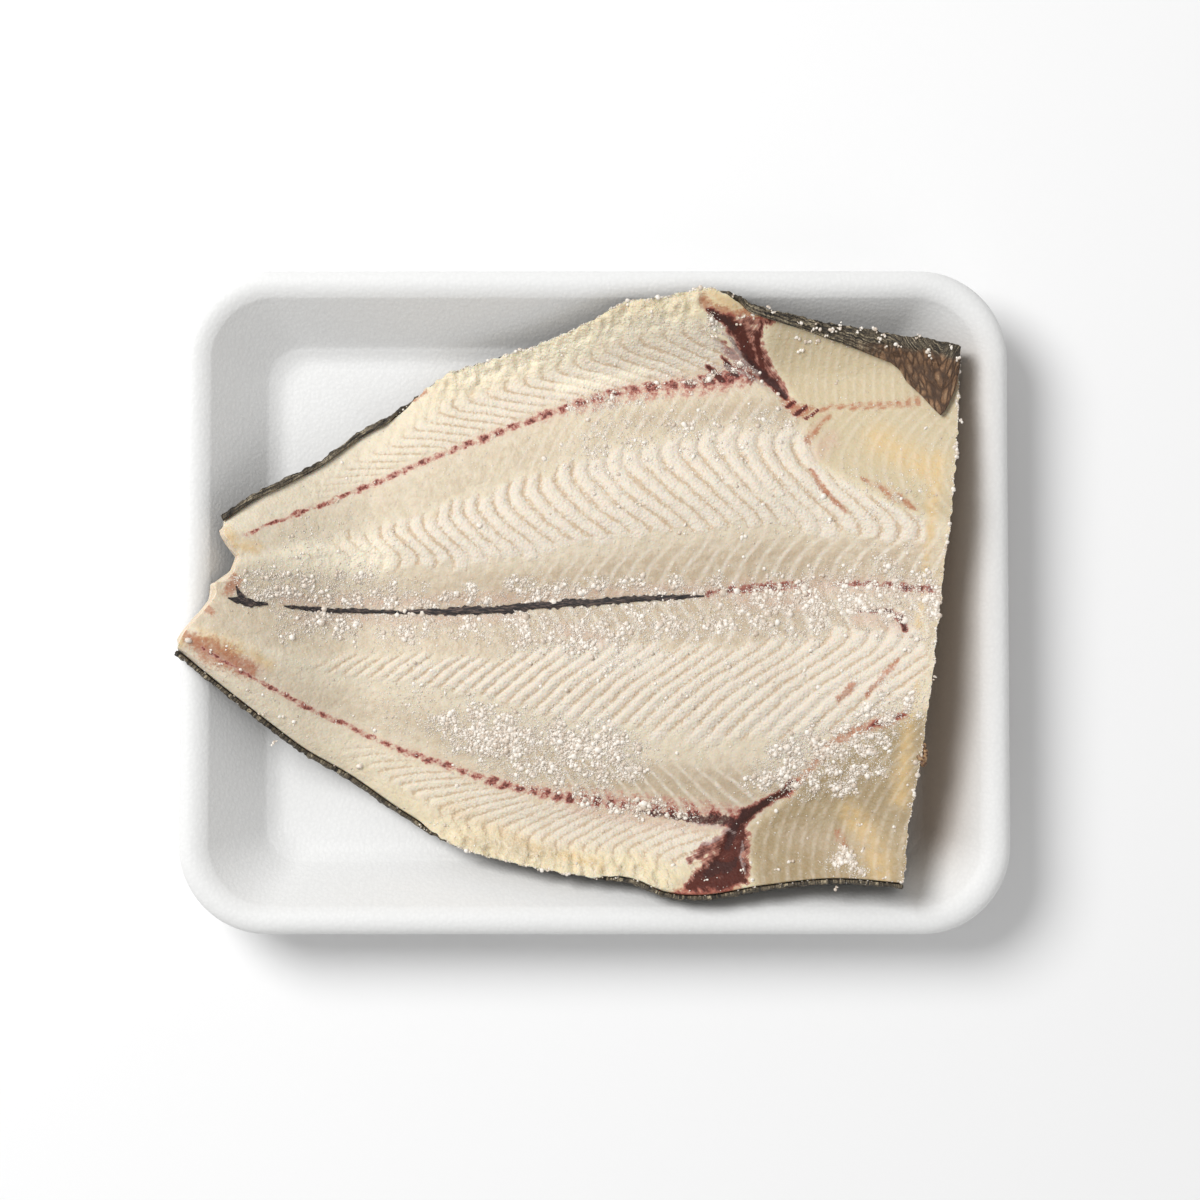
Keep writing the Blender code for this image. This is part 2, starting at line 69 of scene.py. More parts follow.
# Patterns of smooth noise: the size of their spots along X and Y in millimetres, where they start, and
# how many layers they have. A later layer is shifted, so that its values differ.
NOISE_SIZE = 256
LAYER_SHIFT = (17, 31)
Pattern = namedtuple("Pattern", "size_x size_y start_x start_y layers", defaults=(0, 0, 3))
CRUMBLE_PATTERN = Pattern(1.8, 1.8, 3, 80)
BLOCK_PATTERN = Pattern(13, 13, 40)
JITTER_PATTERN = Pattern(3.5, 3.5, 12, 70, 2)
ZONE_PATTERN = Pattern(5, 5, 60, 33)
BAR_PATTERN = Pattern(16, 16)
CRUMB_PATTERN = Pattern(1.9, 1.9, 0, 0, 2)
LUMP_PATTERN = Pattern(17, 17, 90, 20)
EDGE_LUMP_PATTERN = Pattern(3.6, 3.0, 21, 44, 2)
MARK_PATTERNS = (Pattern(2.6, 2.6), Pattern(2.6, 2.6, 50, 9))
SALT_PATTERNS = (Pattern(7, 7, 14), Pattern(7, 7, 81, 5))
CLUMP_PATTERN = Pattern(3, 3, 7, 3)
CAP_PATTERN = Pattern(3, 2, 70)
FLAKE_PATTERN = Pattern(14, 14, 9)
FOLD_PATTERN = Pattern(9, 1.6, 5, 0, 2)
RAGGED_PATTERN = Pattern(1.7, 1.2, 31, 5, 2)
TORN_PATTERN = Pattern(4, 4)
# A depth that lies outside every line. To find the height at a pixel, its nearest points of the top are
# weighed by how near they are, in pixels, with a least distance.
OUTSIDE = -9.0
NEIGHBOURS = 4
LEAST_DISTANCE = 0.1

# The tray, as in the solids: inset at the ends, inset at the sides, corner radius, height.
TRAY_LENGTH = 280.0
TRAY_WIDTH = 224.6
RIM_RADIUS = 30.0
FOAM = 4.5
TRAY_RINGS = (
    (31.0, 27.5, 12.0, 0.0),
    (27.0, 24.0, 13.0, 1.3),
    (23.5, 21.0, 14.5, 4.6),
    (9.6, 9.0, 22.0, 18.6),
    (7.6, 7.2, 23.5, 19.8),
    (1.6, 1.6, 28.5, 20.0),
    (0.3, 0.3, 29.7, 21.2),
    (0.0, 0.0, 30.0, 24.0),
    (0.9, 0.9, 29.2, 25.9),
    (3.0, 3.0, 27.5, 27.0),
    (6.0, 5.8, 25.0, 26.9),
    (9.2, 8.6, 22.5, 25.5),
    (12.0, 11.0, 20.5, 22.9),
    (25.4, 22.2, 13.5, 9.3),
    (28.6, 25.2, 12.0, 6.6),
    (32.2, 28.2, 10.5, 5.0),
    (36.0, 31.0, 9.5, FOAM),
)
TRAY_CORNER_STEPS = 24
TRAY_SIDE_STEPS = 40
TRAY_RING_STEPS = 4
# The line of the cut end of the fish as (y, x), beside which the foam is painted darker, as painted shade of
# the fish over the gap: how far from the line, and between which distances from the middle the painted shade
# fades.
CUT_EDGE = ((-97, 112), (-50, 117.5), (0, 120), (86, 121))
GAP_SHADE_SPAN = 20.0
GAP_SHADE_HALF = (75.0, 100.0)

# How the fish beds in the tray, as in the solids: its height on the floor, how far it climbs the walls
# and where it does so, how far the cut end lifts, and the least share of its thickness that it keeps
# where it climbs.
BED_REST = FOAM + 0.4
BED_RISE = 23.1
BED_SPAN_SIDE = 38.5
BED_SPAN_TAIL = 65.0
BED_RIM = 4.0
CUT_END_LIFT = 12.0
CUT_END_SPAN = 75.0
LEAST_THICKNESS = 0.62
SKIN_THICKNESS = 1.2
SKIN_GAP = 0.55

# Outlines of the flesh seen from above, in millimetres, from the tail to the cut end.
OUTLINES = {
    "top_edge": (
        (-126, 28.5), (-116, 36), (-105.5, 42), (-94, 49), (-80.5, 59.5), (-66.5, 67), (-53, 77.5),
        (-37.5, 83), (-18.5, 88.5), (-1.5, 95), (10.5, 101), (20.5, 102), (39.5, 105), (52, 101),
        (73, 96), (93.5, 92), (114, 88.5), (124, 86),
    ),
    "upper_line": (
        (-124, 21.5), (-116, 22.5), (-99.5, 30), (-66.5, 44.5), (-30.5, 59), (2, 69.5), (36, 75),
        (53, 76), (65, 70.5), (80.5, 67), (104.5, 68.5), (123, 67),
    ),
    "upper_ridge_top": (
        (-119, 14.5), (-99, 19.5), (-66, 25.5), (-32, 35.5), (2, 46), (36, 52), (70, 52),
        (121.5, 47),
    ),
    "upper_ridge_foot": (
        (-121, 9), (-99, 13), (-66, 14.5), (-32, 14.5), (2, 19.5), (36, 24), (119, 23.5),
    ),
    "middle": (
        (-127, 3), (-111.5, -1), (-66, -2.5), (-32, -2.5), (2, 0.5), (37, 2.5), (70, 5),
        (116.5, 3),
    ),
    "lower_ridge_foot": (
        (-134, -8), (-99, -16), (-66, -15.5), (2, -12.5), (114.5, -13),
    ),
    "lower_ridge_top": (
        (-137, -11.5), (-99, -24), (-66, -30.5), (-32, -37), (15.5, -50), (66, -52), (110, -48.5),
    ),
    "lower_line": (
        (-139, -15), (-130, -17.5), (-99.5, -34.5), (-59, -51.5), (-18.5, -64.5), (24, -71),
        (46, -73), (69.5, -69), (107, -67.5),
    ),
    "bottom_edge": (
        (-141, -18.5), (-130, -27.5), (-112.5, -41.5), (-99.5, -51.5), (-85, -60), (-66, -73),
        (-45.5, -84), (-25, -89.5), (-6.5, -93), (13.5, -96), (23.5, -100), (35, -101),
        (55.5, -98), (82, -95.5), (103, -97),
    ),
}
MIDDLE_STRIP = 2.2

# How thick the flesh is at four shares of its length, in millimetres, from the edges to the middle.
STATIONS = (0.0, 0.35, 0.7, 1.0)
THICKNESS = {
    "edge": (3.5, 4.5, 5.5, 9.0),
    "belly": (5.5, 6.5, 8.5, 13.0),
    "line": (7.0, 8.5, 11.5, 17.0),
    "shoulder": (8.0, 11.5, 16.5, 20.5),
    "loin": (8.5, 13.0, 19.5, 23.5),
    "foot": (8.0, 12.5, 18.0, 22.5),
    "middle": (7.0, 10.0, 14.5, 20.5),
}

# The main rows across the flesh: the two outlines a row lies between and its share of the way, its two
# kinds of thickness and how much of the second, how far the muscle blocks shift along X for each
# millimetre from the row before, at the tail and at the cut end, and how clear and how yellow the flesh
# is.
Row = namedtuple("Row", "first second share kind other blend slopes clear yellow")
ROWS = (
    Row("top_edge", "upper_line", 0.0, "edge", "belly", 0.0, (0.0, 0.0), 0.0, 0.65),
    Row("top_edge", "upper_line", 0.22, "edge", "belly", 0.6, (-0.3, -0.5), 0.0, 0.65),
    Row("top_edge", "upper_line", 0.46, "belly", "line", 0.1, (-0.3, -0.7), 0.0, 0.35),
    Row("top_edge", "upper_line", 0.74, "belly", "line", 0.6, (2.3, 1.1), 0.10, 0.25),
    Row("top_edge", "upper_line", 1.0, "line", "line", 0.0, (2.0, 1.1), 0.35, 0.12),
    Row("upper_line", "upper_ridge_top", 0.5, "line", "shoulder", 0.6, (-0.5, -0.65), 0.75, 0.12),
    Row("upper_line", "upper_ridge_top", 1.0, "shoulder", "shoulder", 0.0, (-0.4, -0.65), 0.25, 0.12),
    Row("upper_ridge_top", "upper_ridge_foot", 0.5, "loin", "loin", 0.0, (0.6, 0.75), 0.0, 0.0),
    Row("upper_ridge_top", "upper_ridge_foot", 1.0, "foot", "foot", 0.0, (0.85, 0.95), 0.35, 0.0),
    Row("upper_ridge_foot", "middle", 0.5, "foot", "middle", 0.5, (-0.5, -0.7), 1.0, 0.0),
    Row("middle", "middle", MIDDLE_STRIP, "middle", "middle", 0.0, (-0.5, -0.5), 1.0, 0.0),
    Row("middle", "middle", -MIDDLE_STRIP, "middle", "middle", 0.0, (0.0, 0.0), 1.0, 0.0),
    Row("middle", "lower_ridge_foot", 1.0, "foot", "foot", 0.0, (0.4, 0.4), 0.9, 0.0),
    Row("lower_ridge_foot", "lower_ridge_top", 0.5, "loin", "loin", 0.0, (-1.2, -1.35), 0.15, 0.0),
    Row("lower_ridge_foot", "lower_ridge_top", 1.0, "shoulder", "shoulder", 0.0, (-1.0, -0.9), 0.35, 0.0),
    Row("lower_ridge_top", "lower_line", 0.5, "line", "shoulder", 0.6, (0.7, 0.9), 1.0, 0.05),
    Row("lower_line", "bottom_edge", 0.0, "line", "line", 0.0, (0.7, 0.8), 0.60, 0.12),
    Row("lower_line", "bottom_edge", 0.30, "belly", "line", 0.6, (-2.4, -1.45), 0.35, 0.25),
    Row("lower_line", "bottom_edge", 0.60, "belly", "line", 0.1, (-2.0, -1.45), 0.25, 0.55),
    Row("lower_line", "bottom_edge", 0.80, "edge", "belly", 0.6, (0.5, 0.6), 0.35, 0.85),
    Row("lower_line", "bottom_edge", 1.0, "edge", "belly", 0.0, (0.5, 0.6), 0.35, 0.75),
)
# How far apart the fine rows are, in millimetres, how many columns there are, and the main rows where the
# upper edge ends and where the lower edge starts.
ROW_STEP = 0.88
COLUMNS = 390
UPPER_EDGE_END = 4
LOWER_EDGE_START = 16

# The muscle blocks: how long they are at the tail and how much longer for each millimetre towards the cut
# end, how far their lines wander, as a share of a block, and how high the bars of salted muscle stand.
BLOCK = 5.5
BLOCK_START = -130.0
BLOCK_GROWTH = 0.0046
BLOCK_WANDER = 0.36
BLOCK_JITTER = 0.11
BAR_HEIGHT = 0.6
# The section of a bar: how blunt it is, how high it stands and how deep its grooves are, as shares of its
# height.
BAR_ROUNDNESS = 2.6
CREST_RISE = 1.9
GROOVE_DROP = 1.2
# How far the bare edges crumble, in millimetres, over how many rows and how far from the cut end, and how
# far in they are drawn.
CRUMBLE = 0.8
CRUMBLE_ROWS = 3
CRUMBLE_SPAN = 2.0
SIDE_DRAWN_IN = 0.3
END_DRAWN_IN = 0.4
# The crumbs on the bars, what share of them the smooth flesh has, and the broad lumps.
CRUMB_HEIGHT = 0.26
SMOOTH_CRUMBS = 0.06
LUMP_HEIGHT = 1.0
# How high the crumbly lumps along the bare edges stand, and how far in they reach, in millimetres.
EDGE_LUMP = 3.2
EDGE_LUMP_LEVEL = 0.25
EDGE_LUMP_REACH = (3.0, 13.0)
# Between which pixels the two belly edges are lumpy.
LUMPY_UPPER = (400, 470, 690, 705)
LUMPY_LOWER = (420, 470, 660, 690)
WALL_LINE_HEIGHT = 0.04

# The creases beside the belly walls, in millimetres.
CREASES = (
    ((36.5, 101), (44, 93.5), (53, 86), (56.5, 77), (65, 70.5)),
    ((24.5, -99), (40.5, -90), (46, -80.5), (66.5, -63.5)),
)
CREASE_DEPTH = 1.3
CREASE_WIDTH = 3.2

# Between which X the skin shows along the edges, and over how many millimetres it comes and goes.
TOP_STRIPS = ((-140, -66),)
BOTTOM_STRIPS = ((-160, -56), (4, 120))
STRIP_FADE = 16.0
# How ragged the skin's edge is, how far that draws it in, and how high its folds are.
STRIP_RAGGED = 1.3
RAGGED_LEVEL = 0.62
FOLD_HEIGHT = 0.5
# The edges of the flesh in section: the bevel beside bare skin, how far the side stands in below a plain
# edge and the lower corner below the side, and at which share of its height the side's middle lies.
STRIP_BEVEL = 0.5
PLAIN_OVERHANG = 2.2
LOW_CORNER_INSET = 1.6
SIDE_SHARE = 0.45
# The share of the side that the skin climbs where it is hidden.
HIDDEN_CLIMB = 0.12
# How far the foot of the tail's end stands out below its top line, and over what share of the length the
# underside follows that end.
TAIL_FOOT = 2.4
TAIL_SPAN = 0.2
UNDER_SHARES = (0.06, 0.15, 0.27, 0.38, 0.5, 0.62, 0.73, 0.85, 0.94)
# How far the skin reaches over the top at each X, where it is folded, in millimetres.
FLAP = (
    (39, 0.0), (49, 1.4), (66, 2.4), (74.5, 3.4), (87, 5.6), (100.5, 8.6), (103.5, 10.5), (106, 14.5),
    (110.5, 18.5), (114, 22), (117, 24.5), (118.5, 22.5), (121, 16), (124, 6.0),
)
LEAST_FLAP = 0.7
FLAP_STEPS = 24
FLAP_ROWS = 60
# A fold this wide starts to show scale pockets, not streaks, and does so this far in from its edge.
FLAP_NET = (5.0, 9.0)
FLAP_STREAKS = (2.0, 4.5)
# The air below the folded skin, and over what length it grows.
FLAP_AIR = 0.7
FLAP_AIR_SPAN = 3.0
# Over what length the skin turns from the side to the top, and at which share of its climb at the lower
# edge.
CORNER_SPAN = 1.0
TOP_TURN = 0.7
LOWER_CLIMB_SHARES = (0.35, 0.7, 1.0)
# The filled ends of the flesh: their steps, how far they bulge, and the muscle layers that show there:
# how thick they are, how they slope, how far they stand out and how far they wander.
CAP_STEPS = 18
CAP_BULGE = 0.8
FLAKE = 3.4
FLAKE_SLOPE = 0.32
FLAKE_DEPTH = 0.22
FLAKE_WANDER = 1.6

# Where the bars of salted muscle show, in pixels of the photograph, and how plainly. A bar ends a little
# before or past the edge of its zone, and the bars fade towards the tail.
UPPER_RIDGES = (
    (290, 548), (345, 535), (400, 520), (480, 495), (560, 470), (640, 448), (700, 434), (780, 426),
    (806, 440), (814, 462), (840, 480), (900, 510), (925, 524), (925, 548), (880, 540), (820, 530),
    (760, 524), (720, 524), (660, 532), (600, 542), (520, 558), (420, 568), (310, 564),
)
LOWER_RIDGES = (
    (300, 664), (343, 652), (411, 655), (480, 660), (540, 652), (600, 647), (740, 645), (840, 632),
    (890, 626), (925, 636), (930, 668), (900, 694), (850, 718), (792, 744), (740, 756), (640, 754),
    (560, 736), (497, 720), (431, 704), (366, 689), (310, 670),
)
UPPER_BELLY = (
    (300, 478), (400, 420), (430, 392), (500, 366), (560, 344), (620, 318), (680, 312), (712, 330),
    (728, 350), (716, 368), (680, 376), (600, 396), (530, 414), (460, 444), (400, 466), (320, 500),
)
LOWER_BELLY = (
    (340, 738), (400, 756), (440, 770), (490, 786), (540, 800), (600, 812), (660, 822), (714, 832),
    (714, 850), (690, 866), (650, 864), (600, 856), (540, 850), (480, 842), (440, 830), (400, 803),
    (340, 764),
)
BAR_ZONES = ((1.0, UPPER_RIDGES), (1.0, LOWER_RIDGES), (0.75, UPPER_BELLY), (0.75, LOWER_BELLY))
# How soft the edge of a zone is, how far it wanders, and how far the bars end from it, in pixels.
ZONE_SOFT = 5.0
ZONE_WANDER = 12.0
END_SCATTER = 15.0
# Between which pixels the bars fade towards the tail, and to what share, and how uneven they are
# everywhere.
BAR_FADE = (290, 540)
LEAST_BAR = 0.32
LEAST_EVEN = 0.8
EVEN_RANGE = 0.45
# The rows over which the bars come out plainly, from either edge inwards, and how plain they are outside
# them.
UPPER_LEGS = (1.3, 2.3)
LOWER_LEGS = (18.7, 17.8)
FAINT_LEG = 0.4
# The bars of the lower ridges end bluntly before this row, and none show from there to the blood line.
LOWER_ENDS = (13.45, 13.9)
BLUNT_WANDER = 0.35
# Where the random ends of the bars are drawn from: a step for each muscle block, and a line of the noise.
END_DRAW = (7.31, 3.7)
BLUNT_DRAW = (5.17, 9.1)

# Marks on the flesh, in pixels, as lines of (x, y, half width). A line of blood is dotted, one dot to a
# muscle block.
UPPER_BLOOD = (
    (246, 535, 2.2), (300, 513, 2.4), (345, 497, 2.8), (400, 473, 3.0), (455, 451, 3.4), (505, 431, 4.0),
    (558, 411, 4.2), (600, 399, 4.6), (628, 391, 5.0), (667, 386, 5.5), (706, 382, 6.0), (738, 376, 6.5),
)
LOWER_BLOOD = (
    (204, 648, 2.4), (230, 664, 2.4), (265, 684, 2.6), (300, 703, 2.8), (358, 730, 3.0), (403, 750, 3.2),
    (440, 762, 3.8), (488, 779, 4.4), (520, 788, 5.0), (560, 796, 5.5), (605, 801, 6.0), (640, 807, 6.0),
    (690, 814, 6.5), (735, 820, 6.5),
)
# The blood lines' cores and halos: how wide and how strong, and how far the halo lies to the side, in
# pixels. Both grow between two pixels along the piece, and so does the pink of the flesh beside them.
BLOOD_CORE = (1.25, 1.8)
BLOOD_HALO = (2.2, 1.3)
HALO_SHIFT = 5.0
HALO_STRENGTH = 0.55
LEAST_CORE = 0.88
CORE_GROWTH = 0.2
BLOOD_GROWS = (470, 680)
FLANK_WIDTH = 3.4
FLANK_PINK = 0.42
FLANK_GROWTH = 0.45
FLANK_GROWS = (430, 760)
MAROON_STROKES = (
    ((708, 309, 2), (717, 315, 4), (728, 322, 7), (738, 331, 8), (744, 344, 7), (751, 358, 6), (762, 373, 5)),
    ((762, 373, 7), (775, 386, 5), (786, 398, 3)),
    ((774, 318, 1), (762, 324, 2), (758, 336, 3), (758, 350, 3), (763, 364, 4)),
    ((722, 358, 1.5), (729, 366, 3), (737, 375, 3)),
    ((706, 366, 1.5), (714, 372, 3.5), (722, 380, 3)),
    ((792, 784, 5), (786, 793, 4), (775, 797, 3)),
    ((775, 797, 4), (760, 806, 5), (747, 814, 6), (737, 824, 7), (731, 836, 7), (727, 847, 8)),
    ((740, 838, 5), (733, 850, 9), (724, 862, 13), (716, 872, 13), (702, 882, 8), (686, 888, 4)),
    ((743, 828, 3), (742, 843, 4), (737, 860, 7), (737, 872, 9), (744, 881, 4)),
    ((700, 878, 8), (715, 872, 15), (732, 874, 13), (742, 868, 7)),
    ((698, 885, 5), (718, 883, 9), (738, 879, 8)),
    ((858, 611, 1.6), (888, 611, 2.2), (900, 618, 3.2), (906, 629, 2.8)),
    ((787, 408, 1.8), (797, 402, 1.6)),
    ((795, 415, 1.7), (808, 407, 1.6)),
    ((804, 419, 1.5), (817, 410, 1.4)),
)
RED_STROKES = (
    ((728, 316, 4), (744, 326, 7), (757, 324, 7), (776, 318, 4)),
    ((756, 326, 7), (755, 342, 8), (762, 362, 6)),
    ((724, 345, 4), (742, 366, 7), (752, 378, 6)),
    ((762, 360, 8), (772, 376, 6), (784, 392, 4)),
    ((676, 894, 3), (694, 888, 6), (720, 884, 9), (744, 880, 6)),
    ((744, 836, 7), (741, 856, 8), (744, 874, 7)),
    ((868, 727, 2), (888, 720, 3), (903, 715, 2)),
    ((690, 860, 4), (706, 850, 6), (722, 840, 7)),
    ((708, 594, 2.5), (735, 590, 4.0), (770, 587, 5.0), (800, 586, 5.0), (812, 598, 3.5)),
    ((835, 585, 2.0), (870, 584, 3.0), (905, 587, 3.0), (936, 590, 3.0)),
)
# How wide and how strong dark and red marks are, how much red ones count beside dark ones, the most that
# dark ones reach, how many of them are large, and how much wider their pink surroundings are.
MAROON_MARK = (1.4, 1.6)
RED_SHARE = 0.6
MOST_MAROON = 1.25
LARGE_MAROON = 8
NEAR_DARK_WIDTH = 2.0
PURPLE_STROKES = (
    ((728, 336, 1.5), (743, 355, 3), (754, 367, 4), (765, 376, 4), (777, 387, 3), (786, 399, 2)),
    ((714, 312, 2), (724, 318, 4), (733, 326, 4)),
    ((727, 366, 3), (735, 374, 3)),
    ((775, 797, 2), (760, 807, 4), (747, 813, 4.5), (736, 824, 4.5), (731, 835, 4), (728, 847, 4)),
    ((640, 811, 2), (672, 816, 3), (704, 819, 4), (730, 821, 5)),
    ((706, 876, 4), (716, 867, 7), (728, 868, 6), (736, 860, 3)),
)
FILM_STROKES = (
    ((731, 346, 1.5), (745, 362, 2), (758, 374, 1.5)),
    ((712, 364, 1.5), (740, 372, 2), (764, 384, 1.5)),
    ((714, 342, 3), (730, 354, 5), (746, 368, 3)),
    ((722, 330, 2), (740, 352, 2.5)),
    ((702, 846, 1.5), (716, 838, 2.5), (728, 832, 1.5)),
    ((694, 823, 1.5), (716, 826, 2), (734, 832, 2)),
    ((743, 842, 1), (741, 858, 1.5), (746, 872, 1)),
)
RUST_STROKES = (
    ((704, 299, 5), (707, 305, 5), (713, 310, 3)),
    ((716, 308, 3), (730, 312, 4), (748, 314, 4), (772, 318, 3)),
    ((786, 402, 5), (800, 412, 6), (816, 410, 3), (835, 407, 2.5)),
    ((833, 407, 2.5), (850, 407, 3), (875, 406, 3), (902, 404, 4), (918, 400, 5)),
    ((808, 440, 4), (815, 428, 4), (828, 416, 3)),
    ((812, 470, 2), (822, 488, 3), (845, 512, 2)),
    ((862, 478, 2), (892, 494, 5), (915, 508, 3)),
    ((790, 790, 5), (815, 765, 4), (832, 744, 5), (852, 732, 5), (880, 723, 6), (904, 715, 4)),
    ((866, 696, 2), (886, 672, 3), (900, 660, 2)),
    ((838, 700, 3), (852, 684, 4)),
    ((670, 896, 5), (700, 890, 8), (735, 887, 6)),
    ((839, 833, 4), (843, 847, 3)),
    ((228, 572, 4), (238, 580, 4), (227, 592, 4)),
    ((203, 607, 4), (211, 612, 3)),
    ((186, 634, 4), (193, 640, 6), (202, 643, 4)),
    ((192, 640, 7), (208, 649, 12), (228, 659, 12), (250, 671, 7)),
    ((410, 402, 2), (425, 392, 2)),
)
HONEY_STROKES = (
    ((228, 532, 5), (236, 545, 6), (258, 548, 5)),
    ((710, 297, 6), (728, 304, 7), (750, 310, 5), (770, 318, 4)),
    ((182, 628, 6), (178, 644, 5)),
    ((202, 636, 7), (240, 652, 9), (268, 664, 6)),
    ((850, 812, 10), (866, 838, 13), (880, 870, 12)),
    ((938, 460, 8), (928, 545, 4), (920, 620, 4), (900, 800, 8)),
    ((880, 440, 14), (930, 470, 12)),
    ((450, 806, 6), (540, 850, 5), (600, 864, 4)),
)
PINK_LINES = (
    ((236, 660, 2), (262, 670, 2)),
    ((284, 600, 4), (400, 602, 4), (560, 597, 3), (640, 590, 3), (705, 590, 4), (760, 586, 6)),
    ((300, 618, 4), (430, 618, 3), (520, 615, 3)),
    ((700, 592, 6), (800, 588, 9), (860, 585, 7), (932, 590, 7)),
    ((858, 618, 4), (890, 619, 7), (903, 626, 6)),
    ((740, 600, 5), (800, 604, 6), (815, 600, 5)),
    ((560, 628, 3), (600, 640, 3)),
    ((820, 450, 8), (830, 440, 6)),
    ((570, 808, 2), (640, 818, 4), (700, 827, 4)),
)
PINK_REACH = 9.0
DRAWN_PINK = 0.9

# The belly walls, smooth and yellow, with thin pale lines.
SMOOTH_WALLS = (
    (
        (726, 300), (770, 322), (768, 352), (782, 380), (800, 404), (808, 430), (822, 464), (862, 486),
        (905, 510), (960, 524), (975, 340), (850, 325),
    ),
    (
        (750, 848), (752, 826), (786, 798), (826, 760), (872, 732), (930, 712), (912, 896), (760, 896),
    ),
)
WALL_SOFT = 7
AMBER_SOFT = 9
WALL_YELLOW = 0.75
# Where the flesh is paler or duller than what lies round it. The pale strokes are pale flesh and salt, and on
# the upper belly also painted light, where its top faces the lamp.
PALE_AND_LIT_STROKES = (
    ((707, 326, 8), (719, 333, 8)),
    ((560, 388, 8), (640, 372, 8)),
    ((470, 376, 12), (560, 350, 20), (640, 326, 16), (690, 324, 8)),
    ((290, 556, 18), (380, 558, 18)),
)
DIM_STROKES = (
    ((640, 420, 14), (700, 414, 16), (780, 412, 12)),
    ((520, 396, 10), (560, 392, 8)),
    ((630, 776, 16), (740, 782, 18)),
    ((540, 822, 14), (640, 832, 14)),
    ((790, 836, 16), (860, 846, 16)),
    ((750, 602, 16), (870, 600, 18)),
    ((590, 690, 14), (700, 690, 16), (800, 680, 14)),
    ((470, 842, 12), (550, 852, 12)),
    ((188, 642, 8), (215, 655, 12), (246, 668, 9)),
    ((520, 812, 10), (640, 826, 14)),
)
# Thin pale lines on the walls between two heights: the height where they stand upright, and how far they
# have bent towards the cut end a given reach above it, and how far apart they are.
WallLines = namedtuple("WallLines", "top foot upright reach bend spacing")
WALL_LINES = (
    WallLines(280, 406, 385, 50, 9, 9.6),
    WallLines(406, 540, 465, 45, 22, 14.5),
    WallLines(690, 900, 866, 60, 15, 12.5),
)

# Marks with firm and with soft edges: their strokes, how much wider they show and, if firm, how strong.
FIRM_MARKS = (("purple", PURPLE_STROKES, 1.5, 1.6), ("film", FILM_STROKES, 1.6, 1.5))
SOFT_MARKS = (
    ("rust", RUST_STROKES, 2.2),
    ("honey", HONEY_STROKES, 2.0),
    ("pale", PALE_AND_LIT_STROKES, 1.4),
    ("dim", DIM_STROKES, 1.4),
)
# How far marks wander, in pixels, and where clear bands, threads and yellow flesh grow, in pixels or
# shares of the length.
MARK_WANDER = 5
CLEAR_AT_TAIL = 0.55
CLEAR_GROWS = (330, 560)
CLEAR_ON_BARS = 0.3
THREADS_GROW = (430, 600)
THREAD_STRENGTH = 1.1
YELLOW_GROWS = (0.1, 0.45)
# The cut end's own tint: over which share of the length, how yellow it is, and how much other yellow
# shows there.
CUT_END_SHARES = (0.95, 1.0)
CUT_END_YELLOW = 0.35
OTHER_YELLOW = 0.5
# What the sides, the ends and the underside of the flesh show.
SIDE_MARKS = {"yellow": 0.3, "clear": 0.6, "pink": 0.35, "rust": 0.12, "threads": 1.0}

# The black membrane: its middle line with half widths, in pieces.
MEMBRANE_PARTS = (
    ((228, 598, 0.9), (238, 600, 2.6), (247, 603, 4.2), (256, 604, 2.4), (268, 604, 0.8)),
    ((236, 586, 0.7), (240, 594, 2.0), (245, 602, 3.2)),
    ((284, 606, 0.8), (300, 608, 1.8), (320, 610, 2.2), (352, 611, 2.4), (384, 612, 2.0), (404, 612, 1.4)),
    (
        (398, 612, 1.4), (420, 612, 2.4), (440, 612, 2.6), (455, 611, 4.0), (500, 610, 3.8),
        (520, 607, 4.2), (560, 604, 3.8), (600, 602, 3.6), (640, 599, 3.0), (680, 597, 2.0),
        (704, 596, 0.6),
    ),
)
MEMBRANE_STEP = 1.6
MEMBRANE_SIDES = 9
# How high the membrane lies, bulges and waves, in millimetres, how ragged it is, and the noise for both.
MEMBRANE_LIFT = 0.35
MEMBRANE_BULGE = 0.45
MEMBRANE_WAVE = 0.25
MEMBRANE_RAGGED = 1.2
WAVE_PATTERN = Pattern(6.0, 1 / 1.9, 0, 0, 1)
RAG_PATTERN = Pattern(2.1, 1 / 3.7, 0, 11, 1)

